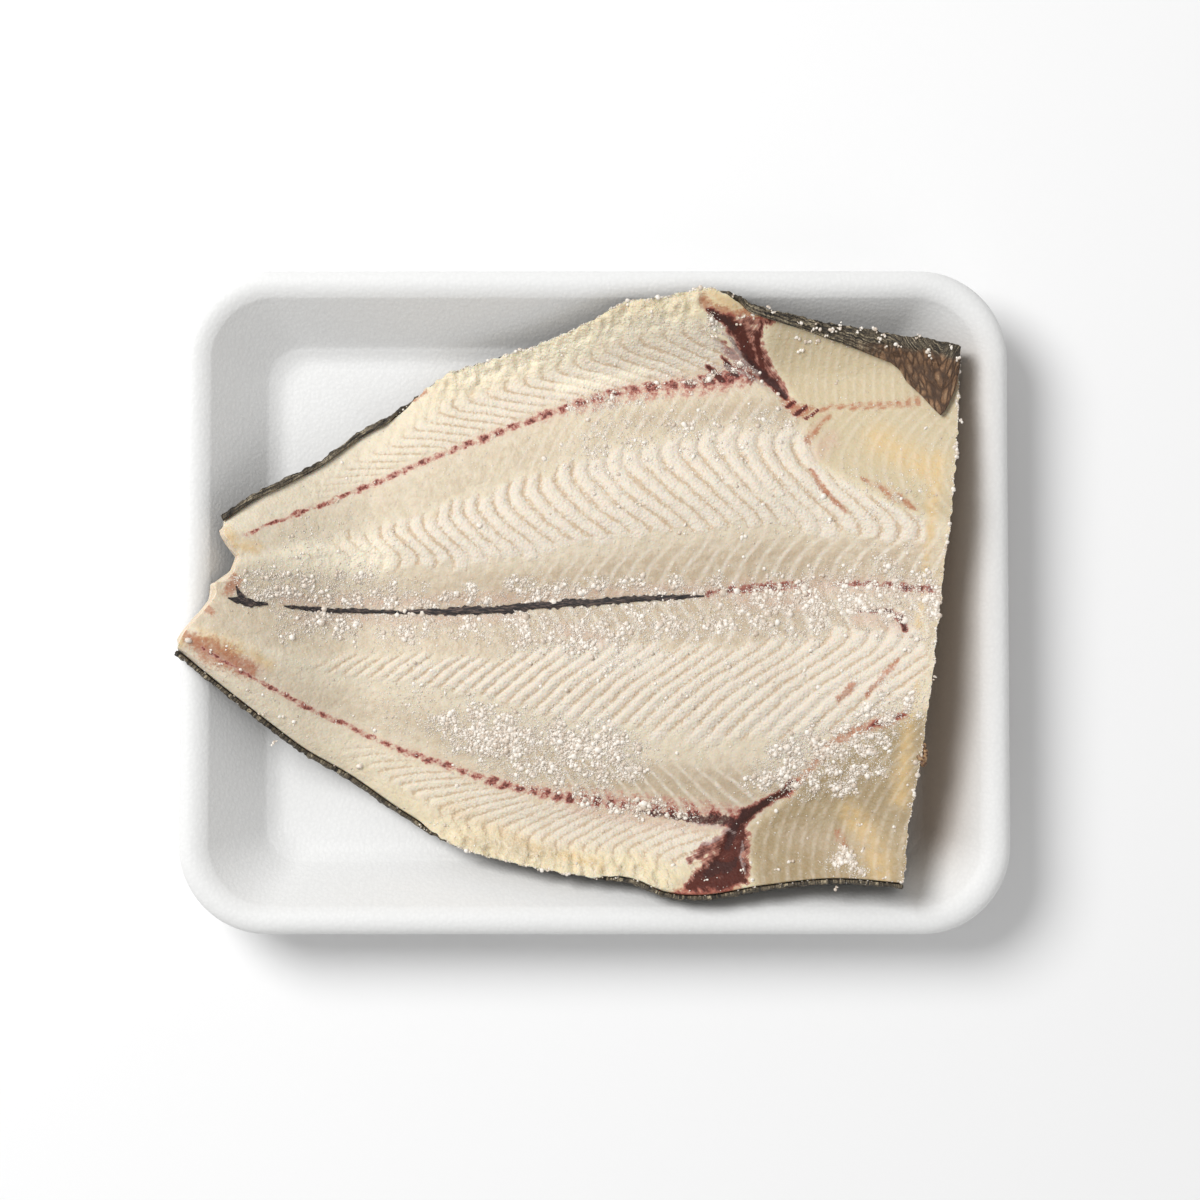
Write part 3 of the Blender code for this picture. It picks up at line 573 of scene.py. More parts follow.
# Salt: lines in pixels with a half width, and how thick it lies there.
SALT_BANDS = (
    (((410, 632, 10), (440, 628, 10)), 0.60),
    (((515, 630, 12), (570, 645, 22), (640, 655, 22)), 0.60),
    (((262, 590, 18), (340, 590, 20), (420, 596, 12)), 0.50),
    (((262, 604, 8), (290, 600, 8)), 0.9),
    (((290, 624, 12), (400, 624, 14), (520, 622, 16), (640, 624, 14), (700, 622, 10)), 0.50),
    (((410, 600, 6), (560, 592, 7), (700, 586, 9)), 0.50),
    (((700, 598, 12), (780, 600, 20), (860, 596, 24), (935, 594, 22)), 0.52),
    (((640, 612, 10), (720, 614, 16), (800, 614, 18), (840, 614, 14)), 0.52),
    (((790, 640, 10), (850, 632, 12), (925, 640, 10)), 0.45),
    (((440, 725, 12), (520, 735, 20), (600, 748, 24), (640, 757, 14)), 0.80),
    (((455, 745, 10), (530, 765, 16), (600, 780, 14)), 0.65),
    (((580, 798, 6), (640, 808, 8), (690, 817, 7)), 0.5),
    (((760, 775, 12), (800, 762, 20), (840, 745, 24), (900, 704, 20)), 0.85),
    (((780, 790, 8), (830, 783, 12), (870, 765, 12)), 0.60),
    (((838, 862, 8), (852, 874, 8)), 0.9),
    (((410, 700, 30), (560, 690, 40), (700, 700, 30)), 0.16),
    (((600, 470, 30), (700, 456, 24), (790, 440, 14)), 0.35),
    (((570, 409, 5), (600, 402, 8), (640, 396, 6)), 0.6),
    (((654, 383, 3), (700, 378, 4), (750, 372, 4)), 0.45),
    (((600, 424, 12), (700, 425, 14), (790, 425, 10)), 0.25),
    (((300, 540, 14), (400, 540, 16)), 0.12),
    (((706, 322, 8), (718, 334, 8)), 0.80),
    (((700, 500, 30), (900, 510, 26)), 0.16),
    (((700, 680, 30), (880, 690, 26)), 0.16),
    (((600, 320, 5), (660, 330, 12), (700, 330, 8)), 0.15),
)
# Where salt fills the grooves between the bars.
FILLED_GROOVES = (
    ((520, 640, 12), (590, 655, 18), (650, 660, 14)),
    ((600, 462, 20), (640, 452, 18), (700, 440, 14), (790, 432, 12)),
    ((740, 468, 8), (780, 500, 10), (840, 540, 8)),
    ((470, 560, 10), (560, 548, 8), (640, 536, 6)),
    ((760, 730, 14), (800, 710, 12), (880, 676, 12)),
    ((560, 716, 10), (640, 740, 12), (720, 742, 10)),
    ((860, 640, 10), (925, 640, 10)),
)
SALT_EVERYWHERE = 0.01
# Marks that show through, because little salt lies on them.
SALT_BARE = (
    ((826, 752, 4), (850, 733, 7), (880, 723, 8), (908, 714, 7)),
    ((784, 792, 6), (796, 784, 5)),
)
SALT_BARE_WIDTH = 1.3
SALT_OFF_BARE = 0.85
# How far the salt wanders from its lines, in pixels, and what share of it the bars shed as they come out.
SALT_WANDER = 34.0
SALT_OFF_BARS = 0.6
BARS_SHED_SALT = (0.1, 0.6)
# The salt along the edges, how far in it lies, and how much farther off it seems where skin shows.
EDGE_SALT = 0.35
EDGE_SALT_REACH = 1.6
SKIN_KEEPS_OFF = 9
# Salt lies in clumps: between which values of the noise they fade in where none lies, and how much lower
# these values are where most lies.
CLUMP_START = 0.56
CLUMP_START_DROP = 0.32
CLUMP_FULL = 0.76
CLUMP_FULL_DROP = 0.22
# How many grains of each kind, and their sizes from and to, in millimetres. Most are small.
FINE_SALT = (23000, (0.45, 0.95))
MEDIUM_SALT = (2600, (0.8, 1.5))
COARSE_SALT = (240, (1.5, 2.3))
DUST_SALT = (26000, (0.3, 0.6))
SIZE_POWER = 1.8
# How deep grains sink in, as a share of their size, and how high a few are heaped, in millimetres.
GRAIN_SINK = 0.62
HEAP_HEIGHT = 0.35
HEAP_POWER = 3
# How much grains are stretched, and how their whiteness is spread.
GRAIN_STRETCH = (0.65, 1.25)
WHITENESS_POWER = 0.8
PEBBLE_BEVEL = 0.27
# A lone grain is a few crystals grown together: their sizes as shares of the grain, and how far apart
# they are.
CLUSTER = (0.66, 0.5, 0.42, 0.34)
CLUSTER_SPREAD = 0.3
LONE_GRAINS = (
    (798, 338, 7), (808, 342, 7), (818, 341, 6), (801, 350, 6), (829, 336, 6), (742, 317, 5), (754, 315, 5),
    (847, 345, 5), (240, 669, 4), (249, 690, 5), (263, 694, 4), (281, 717, 5), (262, 713, 4), (276, 743, 5),
    (458, 786, 6), (742, 871, 5), (752, 881, 5), (777, 870, 5), (788, 862, 6), (838, 888, 5), (845, 850, 5),
    (864, 850, 5), (895, 830, 5), (860, 825, 4), (885, 878, 4), (706, 880, 4), (751, 862, 4), (408, 705, 5),
    (220, 664, 4), (226, 647, 4), (211, 650, 4), (935, 676, 4), (922, 735, 4), (961, 421, 4), (640, 820, 6),
    (652, 812, 5), (668, 816, 6), (680, 814, 6), (622, 812, 6), (691, 392, 5), (660, 388, 5), (590, 404, 4),
    (709, 323, 6), (714, 328, 7), (719, 333, 7), (711, 333, 5), (721, 327, 5), (706, 329, 4),
)
SKIN_GRAINS = (
    (768, 309, 5), (772, 313, 4), (800, 323, 4), (817, 327, 5), (832, 330, 6), (838, 329, 5), (840, 326, 4),
    (856, 333, 4), (860, 329, 4), (876, 331, 6), (882, 336, 5), (880, 340, 5), (898, 347, 5), (886, 348, 4),
    (917, 338, 4), (926, 350, 6), (930, 356, 5), (957, 358, 6), (950, 348, 4), (826, 337, 4), (812, 331, 4),
)
# The brown crumb on the cut end: its lumps as (x, y) in pixels and their sizes in millimetres, and how
# far it stands out and sits below the edge.
CRUMB = ((920, 746, 2.6), (921, 752, 2.4), (918, 757, 3.2), (919, 763, 2.2))
CRUMB_OUT = 1.3
CRUMB_DROP = 1.0
# Grains on the bare strips of skin along the edges: how many, how far out they sit, their sizes, the gap
# to the edge, and how far they may lie below it, in millimetres.
STRIP_SALT = 150
STRIP_SALT_OUT = 1.1
STRIP_SIZE = (0.4, 1.0)
STRIP_GAP = 0.4
STRIP_FALL = 0.5
SEED = 11

# Light: a soft key from the upper left of the photograph, a weak fill from its lower right and an even
# white surround. A light is its direction, its size and distance in metres, and its power.
Light = namedtuple("Light", "name way size distance power")
LIGHTS = (
    Light("key", (-0.72, 0.49, 1.0), 1.15, 2.0, 35.0),
    Light("fill", (0.7, -0.7, 0.6), 1.5, 2.0, 5.0),
)
SKY_STRENGTH = 0.42
FLOOR_SIZE = 6.0
FLOOR_DROP = 0.0002


def srgb(red, green, blue):
    """A colour read from the photograph, 0 to 255, as linear light."""
    values = [channel / 255 for channel in (red, green, blue)]
    return tuple(v / 12.92 if v <= 0.04045 else ((v + 0.055) / 1.055) ** 2.4 for v in values)


def ease(t):
    t = np.clip(t, 0.0, 1.0)
    return t * t * (3 - 2 * t)


def span(value, start, end):
    """How far value has gone from start to end, eased, from 0 to 1."""
    return ease((value - start) / (end - start))


class Noise:
    """Smooth random values over the plane, from 0 to 1, the same in each run."""

    def __init__(self, seed):
        self.table = np.random.RandomState(seed).rand(NOISE_SIZE, NOISE_SIZE)

    def at(self, x, y):
        ix, iy = np.floor(x).astype(int), np.floor(y).astype(int)
        fx, fy = ease(x - ix), ease(y - iy)
        corner = [[self.table[(ix + i) % NOISE_SIZE, (iy + j) % NOISE_SIZE] for j in (0, 1)] for i in (0, 1)]
        low = corner[0][0] + (corner[1][0] - corner[0][0]) * fx
        high = corner[0][1] + (corner[1][1] - corner[0][1]) * fx
        return low + (high - low) * fy

    def spots(self, x, y, pattern):
        """Layers of values, each twice as fine and half as strong as the one before."""
        x = x / pattern.size_x + pattern.start_x
        y = y / pattern.size_y + pattern.start_y
        shift_x, shift_y = LAYER_SHIFT
        layers = range(pattern.layers)
        total = sum(self.at(x * 2**n + shift_x * n, y * 2**n + shift_y * n) / 2**n for n in layers)
        return total / sum(1 / 2**n for n in layers)


def camera_frame():
    """The camera's place and its right, up and forward directions, in millimetres."""
    up = np.array([0.0, math.cos(TILT), math.sin(TILT)])
    forward = np.array([0.0, math.sin(TILT), -math.cos(TILT)])
    return AIM - forward * DISTANCE, np.array([1.0, 0.0, 0.0]), up, forward


def photo_pixels(points):
    """Where points in millimetres show in the photograph, in pixels."""
    place, right, up, forward = camera_frame()
    offset = points - place
    scale = FOCUS / (offset @ forward)
    return PHOTO_SIZE / 2 + (offset @ right) * scale, PHOTO_SIZE / 2 - (offset @ up) * scale


def to_segment(px, py, start, end):
    """How far along a segment the nearest place to each pixel lies, from 0 to 1, and how far away it is."""
    (ax, ay), (bx, by) = start, end
    dx, dy = bx - ax, by - ay
    t = np.clip(((px - ax) * dx + (py - ay) * dy) / (dx * dx + dy * dy), 0, 1)
    return t, np.hypot(px - ax - dx * t, py - ay - dy * t)


def line_reach(px, py, line, width_scale=1.0):
    """How deep pixels lie in a line of (x, y, half width): 1 in its middle, 0 at its edge, less outside."""
    best = np.full(px.shape, OUTSIDE)
    for (ax, ay, start_width), (bx, by, end_width) in zip(line, line[1:]):
        t, distance = to_segment(px, py, (ax, ay), (bx, by))
        width = (start_width + (end_width - start_width) * t) * width_scale
        best = np.maximum(best, 1 - distance / width)
    return best


def strokes(px, py, lines, scale=1.0):
    """How deep each pixel lies in the deepest of some lines."""
    return np.max([line_reach(px, py, line, scale) for line in lines], axis=0)


def inside(px, py, polygon, soft):
    """1 inside a polygon of pixels, fading to 0 over the soft distance about its edge."""
    within = np.zeros(px.shape, bool)
    distance = np.full(px.shape, np.inf)
    for (ax, ay), (bx, by) in zip(polygon, polygon[1:] + polygon[:1]):
        crosses = (ay > py) != (by > py)
        with np.errstate(divide="ignore", invalid="ignore"):
            within ^= crosses & (px < (bx - ax) * (py - ay) / (by - ay) + ax)
        distance = np.minimum(distance, to_segment(px, py, (ax, ay), (bx, by))[1])
    return ease(0.5 + np.where(within, distance, -distance) / soft / 2)


def outline(name, u):
    """Points of a named outline at shares u of its length along X, on a smooth curve through its points."""
    xs, ys = (np.array(values, float) for values in zip(*OUTLINES[name]))
    slopes = np.gradient(ys, xs)
    x = xs[0] + (xs[-1] - xs[0]) * u
    i = np.clip(np.searchsorted(xs, x) - 1, 0, len(xs) - 2)
    width = xs[i + 1] - xs[i]
    t = (x - xs[i]) / width
    y = (
        (1 + 2 * t) * (1 - t) ** 2 * ys[i]
        + t * (1 - t) ** 2 * width * slopes[i]
        + t * t * (3 - 2 * t) * ys[i + 1]
        + t * t * (t - 1) * width * slopes[i + 1]
    )
    return np.stack([x, y], -1)


def rounded_distance(x, y):
    """Distance from the tray's outline, negative inside."""
    qx = np.abs(x) - (TRAY_LENGTH / 2 - RIM_RADIUS)
    qy = np.abs(y) - (TRAY_WIDTH / 2 - RIM_RADIUS)
    return np.hypot(np.maximum(qx, 0), np.maximum(qy, 0)) + np.minimum(np.maximum(qx, qy), 0) - RIM_RADIUS


def side_rise(inset):
    return span(inset, BED_SPAN_SIDE, BED_RIM)


def tail_rise(x):
    return span(x + TRAY_LENGTH / 2, BED_SPAN_TAIL, BED_RIM)


def under_height(x, y):
    """The underside of the flesh, which lies on the skin."""
    rise = np.maximum(side_rise(-rounded_distance(x, y)), tail_rise(x))
    return BED_REST + BED_RISE * rise + SKIN_THICKNESS + SKIN_GAP


def across(values, v):
    """Smooth values between the main rows, for fine rows at places v. The main rows are the first axis."""
    i = np.clip(np.floor(v).astype(int), 0, len(values) - 2)
    t = (v - i).reshape(-1, *([1] * (values.ndim - 1)))
    before, start, end, after = (values[np.clip(i + n, 0, len(values) - 1)] for n in (-1, 0, 1, 2))
    return 0.5 * (
        2 * start
        + (end - before) * t
        + (2 * before - 5 * start + 4 * end - after) * t**2
        + (3 * (start - end) + after - before) * t**3
    )


def main_rows(u):
    """The plan points of the main rows, as (rows, columns, 2)."""
    rows = []
    for row in ROWS:
        points = outline(row.first, u)
        if row.first == row.second:
            points = points + np.array([0, row.share])
        else:
            points = points + (outline(row.second, u) - points) * row.share
        rows.append(points)
    return np.array(rows)


def fine_places(rows):
    """Where the fine rows lie between the main ones, evenly spaced at the middle of the piece."""
    middle = rows[:, rows.shape[1] // 2]
    steps = np.hypot(*np.diff(middle, axis=0).T)
    total = np.concatenate([[0], np.cumsum(steps)])
    count = int(total[-1] / ROW_STEP)
    return np.interp(np.linspace(0, total[-1], count), total, np.arange(len(rows)))


def outward(points):
    """Unit plan normals of a line of points, turned to the left of its direction."""
    run = np.gradient(points, axis=0)
    run /= np.linalg.norm(run, axis=1, keepdims=True)
    return np.stack([-run[:, 1], run[:, 0]], -1)


def strips(spans, x):
    near = np.max([np.minimum(x - start, end - x) for start, end in spans], axis=0)
    return ease(near / STRIP_FADE + 0.5)


def edge_profile(points, normals, bare):
    """The top corner, outermost line and lower corner of one edge of the flesh, in plan."""
    cover = (SKIN_GAP + SKIN_THICKNESS) * bare
    corner = cover + STRIP_BEVEL * bare
    middle = cover + PLAIN_OVERHANG * (1 - bare)
    return [points - normals * inset[:, None] for inset in (corner, middle, middle + LOW_CORNER_INSET)]


def wall_phase(px, py):
    """Which thin pale line of a belly wall pixels belong to, as a number that grows along the piece."""
    phase = np.zeros(px.shape)
    for lines in WALL_LINES:
        bend = lines.bend * ((lines.upright - py) / lines.reach) ** 2
        phase = np.where((py >= lines.top) & (py < lines.foot), (px - bend) / lines.spacing, phase)
    return phase


def block_phase(rows, places, u):
    """Which muscle block each point of the top belongs to, as a number that grows along the piece."""
    steps = np.abs(np.diff(rows[:, :, 1], axis=0, prepend=rows[:1, :, 1]))
    slopes = np.array([row.slopes[0] + (row.slopes[1] - row.slopes[0]) * u for row in ROWS])
    shift = np.cumsum(slopes * steps, axis=0)
    middle = shift[len(ROWS) // 2]
    along = across(rows[:, :, 0], places) - across(shift - middle, places) - BLOCK_START
    return np.log(1 + along * BLOCK_GROWTH / BLOCK) / BLOCK_GROWTH


class Flesh:
    """The shape of the flesh as arrays over rows and columns, with what shows at each point of its top."""

    def __init__(self):
        self.noise = Noise(SEED)
        self.u = np.linspace(0, 1, COLUMNS)
        rows = main_rows(self.u)
        self.v = fine_places(rows)
        self.shape_plan(across(rows, self.v))
        self.roughen_edges()
        self.phase = block_phase(rows, self.v, self.u)
        self.phase += (self.spots(BLOCK_PATTERN) - 0.5) * BLOCK_WANDER
        self.phase += (self.spots(JITTER_PATTERN) - 0.5) * BLOCK_JITTER
        self.shape_top()

    def spots(self, pattern):
        return self.noise.spots(self.x, self.y, pattern)

    def shape_plan(self, plan):
        """The plan of the top, drawn in along its two edges, and the profiles of these edges."""
        self.upper_out = outward(plan[0])
        self.lower_out = -outward(plan[-1])
        upper_x, lower_x = plan[0, :, 0], plan[-1, :, 0]
        flap = ease((upper_x - FLAP[0][0]) / STRIP_FADE)
        self.upper_bare = np.maximum(strips(TOP_STRIPS, upper_x), flap)
        self.lower_bare = strips(BOTTOM_STRIPS, lower_x)
        self.upper = edge_profile(plan[0], self.upper_out, self.upper_bare)
        self.lower = edge_profile(plan[-1], self.lower_out, self.lower_bare)
        lower_rows = len(ROWS) - 1 - LOWER_EDGE_START
        near_upper = np.clip(1 - self.v / UPPER_EDGE_END, 0, 1)[:, None, None]
        near_lower = np.clip((self.v - LOWER_EDGE_START) / lower_rows, 0, 1)[:, None, None]
        plan = plan + (self.upper[0] - plan[0]) * near_upper + (self.lower[0] - plan[-1]) * near_lower
        self.x, self.y = plan[..., 0].copy(), plan[..., 1].copy()

    def roughen_edges(self):
        """Makes the edges that no skin covers, and the cut end, a little crumbly in plan."""
        wave = 2 * self.spots(CRUMBLE_PATTERN) - 1
        reach = np.clip(1 - np.arange(len(self.v)) / CRUMBLE_ROWS, 0, 1)[:, None]
        upper = (self.upper_bare, self.upper_out, reach)
        lower = (self.lower_bare, self.lower_out, reach[::-1])
        for bare, out, near in (upper, lower):
            push = CRUMBLE * (wave - SIDE_DRAWN_IN) * near * (1 - bare)
            self.x += push * out[:, 0]
            self.y += push * out[:, 1]
        near = np.clip(1 - (self.x[:, -1:] - self.x) / CRUMBLE_SPAN, 0, 1)
        self.x += CRUMBLE * (wave - END_DRAWN_IN) * near

    def traits(self, name):
        values = np.array([getattr(row, name) for row in ROWS], float)
        return np.clip(across(values, self.v), 0, 1)[:, None] * np.ones(len(self.u))

    def thickness(self):
        kinds = {name: np.interp(self.u, STATIONS, values) for name, values in THICKNESS.items()}
        main = [kinds[row.kind] + (kinds[row.other] - kinds[row.kind]) * row.blend for row in ROWS]
        return across(np.array(main), self.v)

    def base_height(self):
        """The height of the top without its relief: it beds in the tray and rises at the cut end."""
        thickness = self.thickness()
        rise = np.maximum(side_rise(TRAY_WIDTH / 2 - np.abs(self.y)), tail_rise(self.x))
        lift = CUT_END_LIFT * span(self.x, TRAY_LENGTH / 2 - CUT_END_SPAN, TRAY_LENGTH / 2)
        level = BED_REST + SKIN_THICKNESS + SKIN_GAP + BED_RISE * rise + lift + thickness
        return np.maximum(level, under_height(self.x, self.y) + thickness * LEAST_THICKNESS)

    def creases(self):
        lines = [[(x, y, CREASE_WIDTH) for x, y in line] for line in CREASES]
        return CREASE_DEPTH * ease(strokes(self.x, self.y, lines))

    def bar_strength(self, block):
        """How plainly the bars of salted muscle show, in zones whose edges differ block by block."""
        past_edge = END_SCATTER * (self.noise.at(block * END_DRAW[0], END_DRAW[1]) - 0.5)
        py = self.py + past_edge + ZONE_WANDER * (self.spots(ZONE_PATTERN) - 0.5)
        zones = [strength * inside(self.px, py, polygon, ZONE_SOFT) for strength, polygon in BAR_ZONES]
        fade = LEAST_BAR + (1 - LEAST_BAR) * span(self.px, *BAR_FADE)
        uneven = LEAST_EVEN + EVEN_RANGE * self.spots(BAR_PATTERN)
        legs = FAINT_LEG + (1 - FAINT_LEG) * span(self.v, *UPPER_LEGS) * span(self.v, *LOWER_LEGS)
        v = self.v[:, None] + BLUNT_WANDER * (self.noise.at(block * BLUNT_DRAW[0], BLUNT_DRAW[1]) - 0.5)
        blunt = 1 - span(v, *LOWER_ENDS) * (self.v < LOWER_EDGE_START)[:, None]
        bars = np.max(zones, axis=0) * fade * uneven * (1 - self.walls) * legs[:, None] * blunt
        return np.clip(bars, 0, 1)

    def shape_top(self):
        """The height of the top, with its bars, crumbs, lumps and creases."""
        base = self.base_height()
        self.px, self.py = photo_pixels(np.stack([self.x, self.y, base], -1))
        self.walls = np.max([inside(self.px, self.py, wall, WALL_SOFT) for wall in SMOOTH_WALLS], axis=0)
        self.wall_phase = wall_phase(self.px, self.py)
        block = np.floor(self.phase)
        self.bars = self.bar_strength(block)
        crest = 1 - np.abs(2 * (self.phase - block) - 1) ** BAR_ROUNDNESS
        relief = BAR_HEIGHT * self.bars * (CREST_RISE * crest - GROOVE_DROP)
        relief += CRUMB_HEIGHT * (self.spots(CRUMB_PATTERN) - 0.5) * (SMOOTH_CRUMBS + self.bars)
        relief += self.edge_lumps()
        relief += LUMP_HEIGHT * (self.spots(LUMP_PATTERN) - 0.5)
        relief += WALL_LINE_HEIGHT * self.walls * np.cos(2 * np.pi * self.wall_phase)
        self.z = base + relief - self.creases()
        self.top = np.stack([self.x, self.y, self.z], -1)

    def edge_lumps(self):
        """Lumps along the edges of the belly."""
        rows = np.arange(len(self.v))[:, None] * ROW_STEP
        self.lumpy = np.zeros_like(self.x)
        for inwards, (start, full, last, end) in ((rows, LUMPY_UPPER), (rows[::-1], LUMPY_LOWER)):
            along = span(self.px, start, full) * span(self.px, end, last)
            self.lumpy = np.maximum(self.lumpy, along * span(inwards, *EDGE_LUMP_REACH[::-1]))
        lumps = np.abs(2 * self.spots(EDGE_LUMP_PATTERN) - 1)
        return EDGE_LUMP * self.lumpy * (EDGE_LUMP_LEVEL - lumps)

    def wandering_pixels(self, reach, patterns):
        """The pixels of the top, each moved at random by up to half the reach."""
        pixels = zip((self.px, self.py), patterns)
        return [pixel + reach * (self.spots(pattern) - 0.5) for pixel, pattern in pixels]

    def below(self):
        """Points from the upper side, over the underside, to the lower side, as (points, columns, 3)."""
        ends = []
        for (_, middle, low), corner in ((self.upper, self.top[0]), (self.lower, self.top[-1])):
            base = under_height(*middle.T)
            side = np.column_stack([middle, base + (corner[:, 2] - base) * SIDE_SHARE])
            ends.append((side, np.column_stack([low, under_height(*low.T)])))
        (upper_side, upper_low), (lower_side, lower_low) = ends
        under = []
        for share in UNDER_SHARES:
            spot = upper_low[:, :2] + (lower_low - upper_low)[:, :2] * share
            end = np.interp(-spot[0, 1], -self.y[:, 0], self.x[:, 0]) - TAIL_FOOT
            spot[:, 0] += (end - spot[0, 0]) * (1 - span(self.u, 0, TAIL_SPAN))
            under.append(np.column_stack([spot, under_height(*spot.T)]))
        return np.array([upper_side, upper_low, *under, lower_low, lower_side])

    def surface(self, row, column):
        """Points of the top at fractional rows and columns."""
        i = np.clip(row.astype(int), 0, self.x.shape[0] - 2)
        j = np.clip(column.astype(int), 0, self.x.shape[1] - 2)
        a, b = (row - i)[:, None], (column - j)[:, None]
        first = self.top[i, j] * (1 - b) + self.top[i, j + 1] * b
        return first * (1 - a) + (self.top[i + 1, j] * (1 - b) + self.top[i + 1, j + 1] * b) * a


def mesh_object(name, points, faces, material):
    """A smooth mesh object from millimetres, riding on the model's one body."""
    mesh = bpy.data.meshes.new(name)
    mesh.from_pydata((np.asarray(points) * MM).tolist(), [], [list(map(int, face)) for face in faces])
    mesh.materials.append(material)
    mesh.shade_smooth()
    obj = bpy.data.objects.new(name, mesh)
    bpy.context.scene.collection.objects.link(obj)
    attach(obj, "root")
    return obj


def add_attribute(obj, name, values):
    kind, key = ("FLOAT_VECTOR", "vector") if values.ndim == 2 else ("FLOAT", "value")
    attribute = obj.data.attributes.new(name, kind, "POINT")
    attribute.data.foreach_set(key, values.astype(np.float32).ravel())


def grid_faces(rows, columns, closed=None):
    """Quads of a grid of points, closed round along its axis 0 or 1 if asked."""
    index = np.arange(rows * columns).reshape(rows, columns)
    if closed is not None:
        index = np.concatenate([index, index.take([0], axis=closed)], axis=closed)
    a, b, c, d = index[:-1, :-1], index[1:, :-1], index[1:, 1:], index[:-1, 1:]
    return np.stack([a, b, c, d], -1).reshape(-1, 4)


def firm_mark(px, py, lines, width, strength, most=1.0):
    """How strongly pixels are marked by strokes that are made wider, with firm edges."""
    return np.clip(strokes(px, py, lines, width) * strength, 0, most)


def blood_marks(flesh, px, py):
    """The two dotted lines of blood, with halos that fade towards the ridges."""
    right = span(flesh.px, *BLOOD_GROWS)
    blood = np.zeros(px.shape)
    for line, way in ((UPPER_BLOOD, 1), (LOWER_BLOOD, -1)):
        core = firm_mark(px, py + way, (line,), *BLOOD_CORE) * (LEAST_CORE + CORE_GROWTH * right)
        halo = firm_mark(px, py - way * HALO_SHIFT, (line,), *BLOOD_HALO) * HALO_STRENGTH * right
        blood = np.max([blood, core, halo], axis=0)
    return blood


def pink_marks(flesh, px, py):
    """Where blood tints the flesh: along pink lines, beside the blood lines and round the dark marks."""
    wide = [[(ax, ay, width + PINK_REACH) for ax, ay, width in line] for line in PINK_LINES]
    drawn = DRAWN_PINK * ease(strokes(px, py, wide))
    flank = ease(strokes(px, py, (UPPER_BLOOD, LOWER_BLOOD), FLANK_WIDTH))
    flank *= FLANK_PINK + FLANK_GROWTH * span(flesh.px, *FLANK_GROWS)
    near_dark = ease(strokes(px, py, MAROON_STROKES[:LARGE_MAROON], NEAR_DARK_WIDTH))
    return np.max([drawn, flank, near_dark], axis=0)


def flesh_marks(flesh):
    """What shows on the top of the flesh at each of its points, as named values, most from 0 to 1."""
    px, py = flesh.wandering_pixels(MARK_WANDER, MARK_PATTERNS)
    off_walls = 1 - flesh.walls
    cut_end = span(flesh.u, *CUT_END_SHARES)
    yellow = np.maximum(flesh.traits("yellow") * span(flesh.u, *YELLOW_GROWS), WALL_YELLOW * flesh.walls)
    clear = flesh.traits("clear")
    clear_grows = CLEAR_AT_TAIL + (1 - CLEAR_AT_TAIL) * span(flesh.px, *CLEAR_GROWS)
    threads = np.clip(clear * THREAD_STRENGTH, 0, 1) * span(flesh.px, *THREADS_GROW) * off_walls
    red = RED_SHARE * firm_mark(px, py, RED_STROKES, *MAROON_MARK)
    marks = {
        "phase": flesh.phase,
        "wall_phase": flesh.wall_phase,
        "bars": flesh.bars,
        "walls": flesh.walls,
        "lumpy": flesh.lumpy,
        "threads": threads * (1 - flesh.bars),
        "clear": clear * off_walls * (1 - (1 - CLEAR_ON_BARS) * flesh.bars) * clear_grows,
        "yellow": np.maximum(yellow * (1 - OTHER_YELLOW * cut_end), CUT_END_YELLOW * cut_end),
        "blood": blood_marks(flesh, px, py),
        "maroon": np.maximum(firm_mark(px, py, MAROON_STROKES, *MAROON_MARK, MOST_MAROON), red),
        "pink": pink_marks(flesh, px, py),
        "amber": inside(px, py, SMOOTH_WALLS[1], AMBER_SOFT),
        "salt": salt_density(flesh),
        "filled": ease(0.5 + strokes(flesh.px, flesh.py, FILLED_GROOVES)),
    }
    for name, lines, width, strength in FIRM_MARKS:
        marks[name] = firm_mark(px, py, lines, width, strength)
    for name, lines, width in SOFT_MARKS:
        marks[name] = ease(strokes(px, py, lines, width))
    return marks


def salt_cover(flesh):
    """How thickly salt lies on the top of the flesh, from 0 to 1."""
    cover = np.full(flesh.px.shape, SALT_EVERYWHERE)
    px, py = flesh.wandering_pixels(SALT_WANDER, SALT_PATTERNS)
    for line, amount in SALT_BANDS:
        cover = np.maximum(cover, amount * ease(0.5 + 0.5 * line_reach(px, py, line)))
    cover *= 1 - SALT_OFF_BARE * ease(strokes(px, py, SALT_BARE, SALT_BARE_WIDTH))
    rows = np.arange(len(flesh.v))[:, None] * ROW_STEP
    upper = rows + SKIN_KEEPS_OFF * flesh.upper_bare
    lower = rows[::-1] + SKIN_KEEPS_OFF * flesh.lower_bare
    edge = np.minimum(np.minimum(upper, lower), flesh.x[:, -1:] - flesh.x)
    return np.maximum(cover, EDGE_SALT * ease(1 - edge / EDGE_SALT_REACH))


def salt_density(flesh):
    """The cover of salt, broken into clumps with bare flesh between them."""
    cover = salt_cover(flesh) * (1 - SALT_OFF_BARS * span(flesh.bars, *BARS_SHED_SALT))
    start = CLUMP_START - CLUMP_START_DROP * cover
    full = CLUMP_FULL - CLUMP_FULL_DROP * cover
    return cover * span(flesh.spots(CLUMP_PATTERN), start, full)


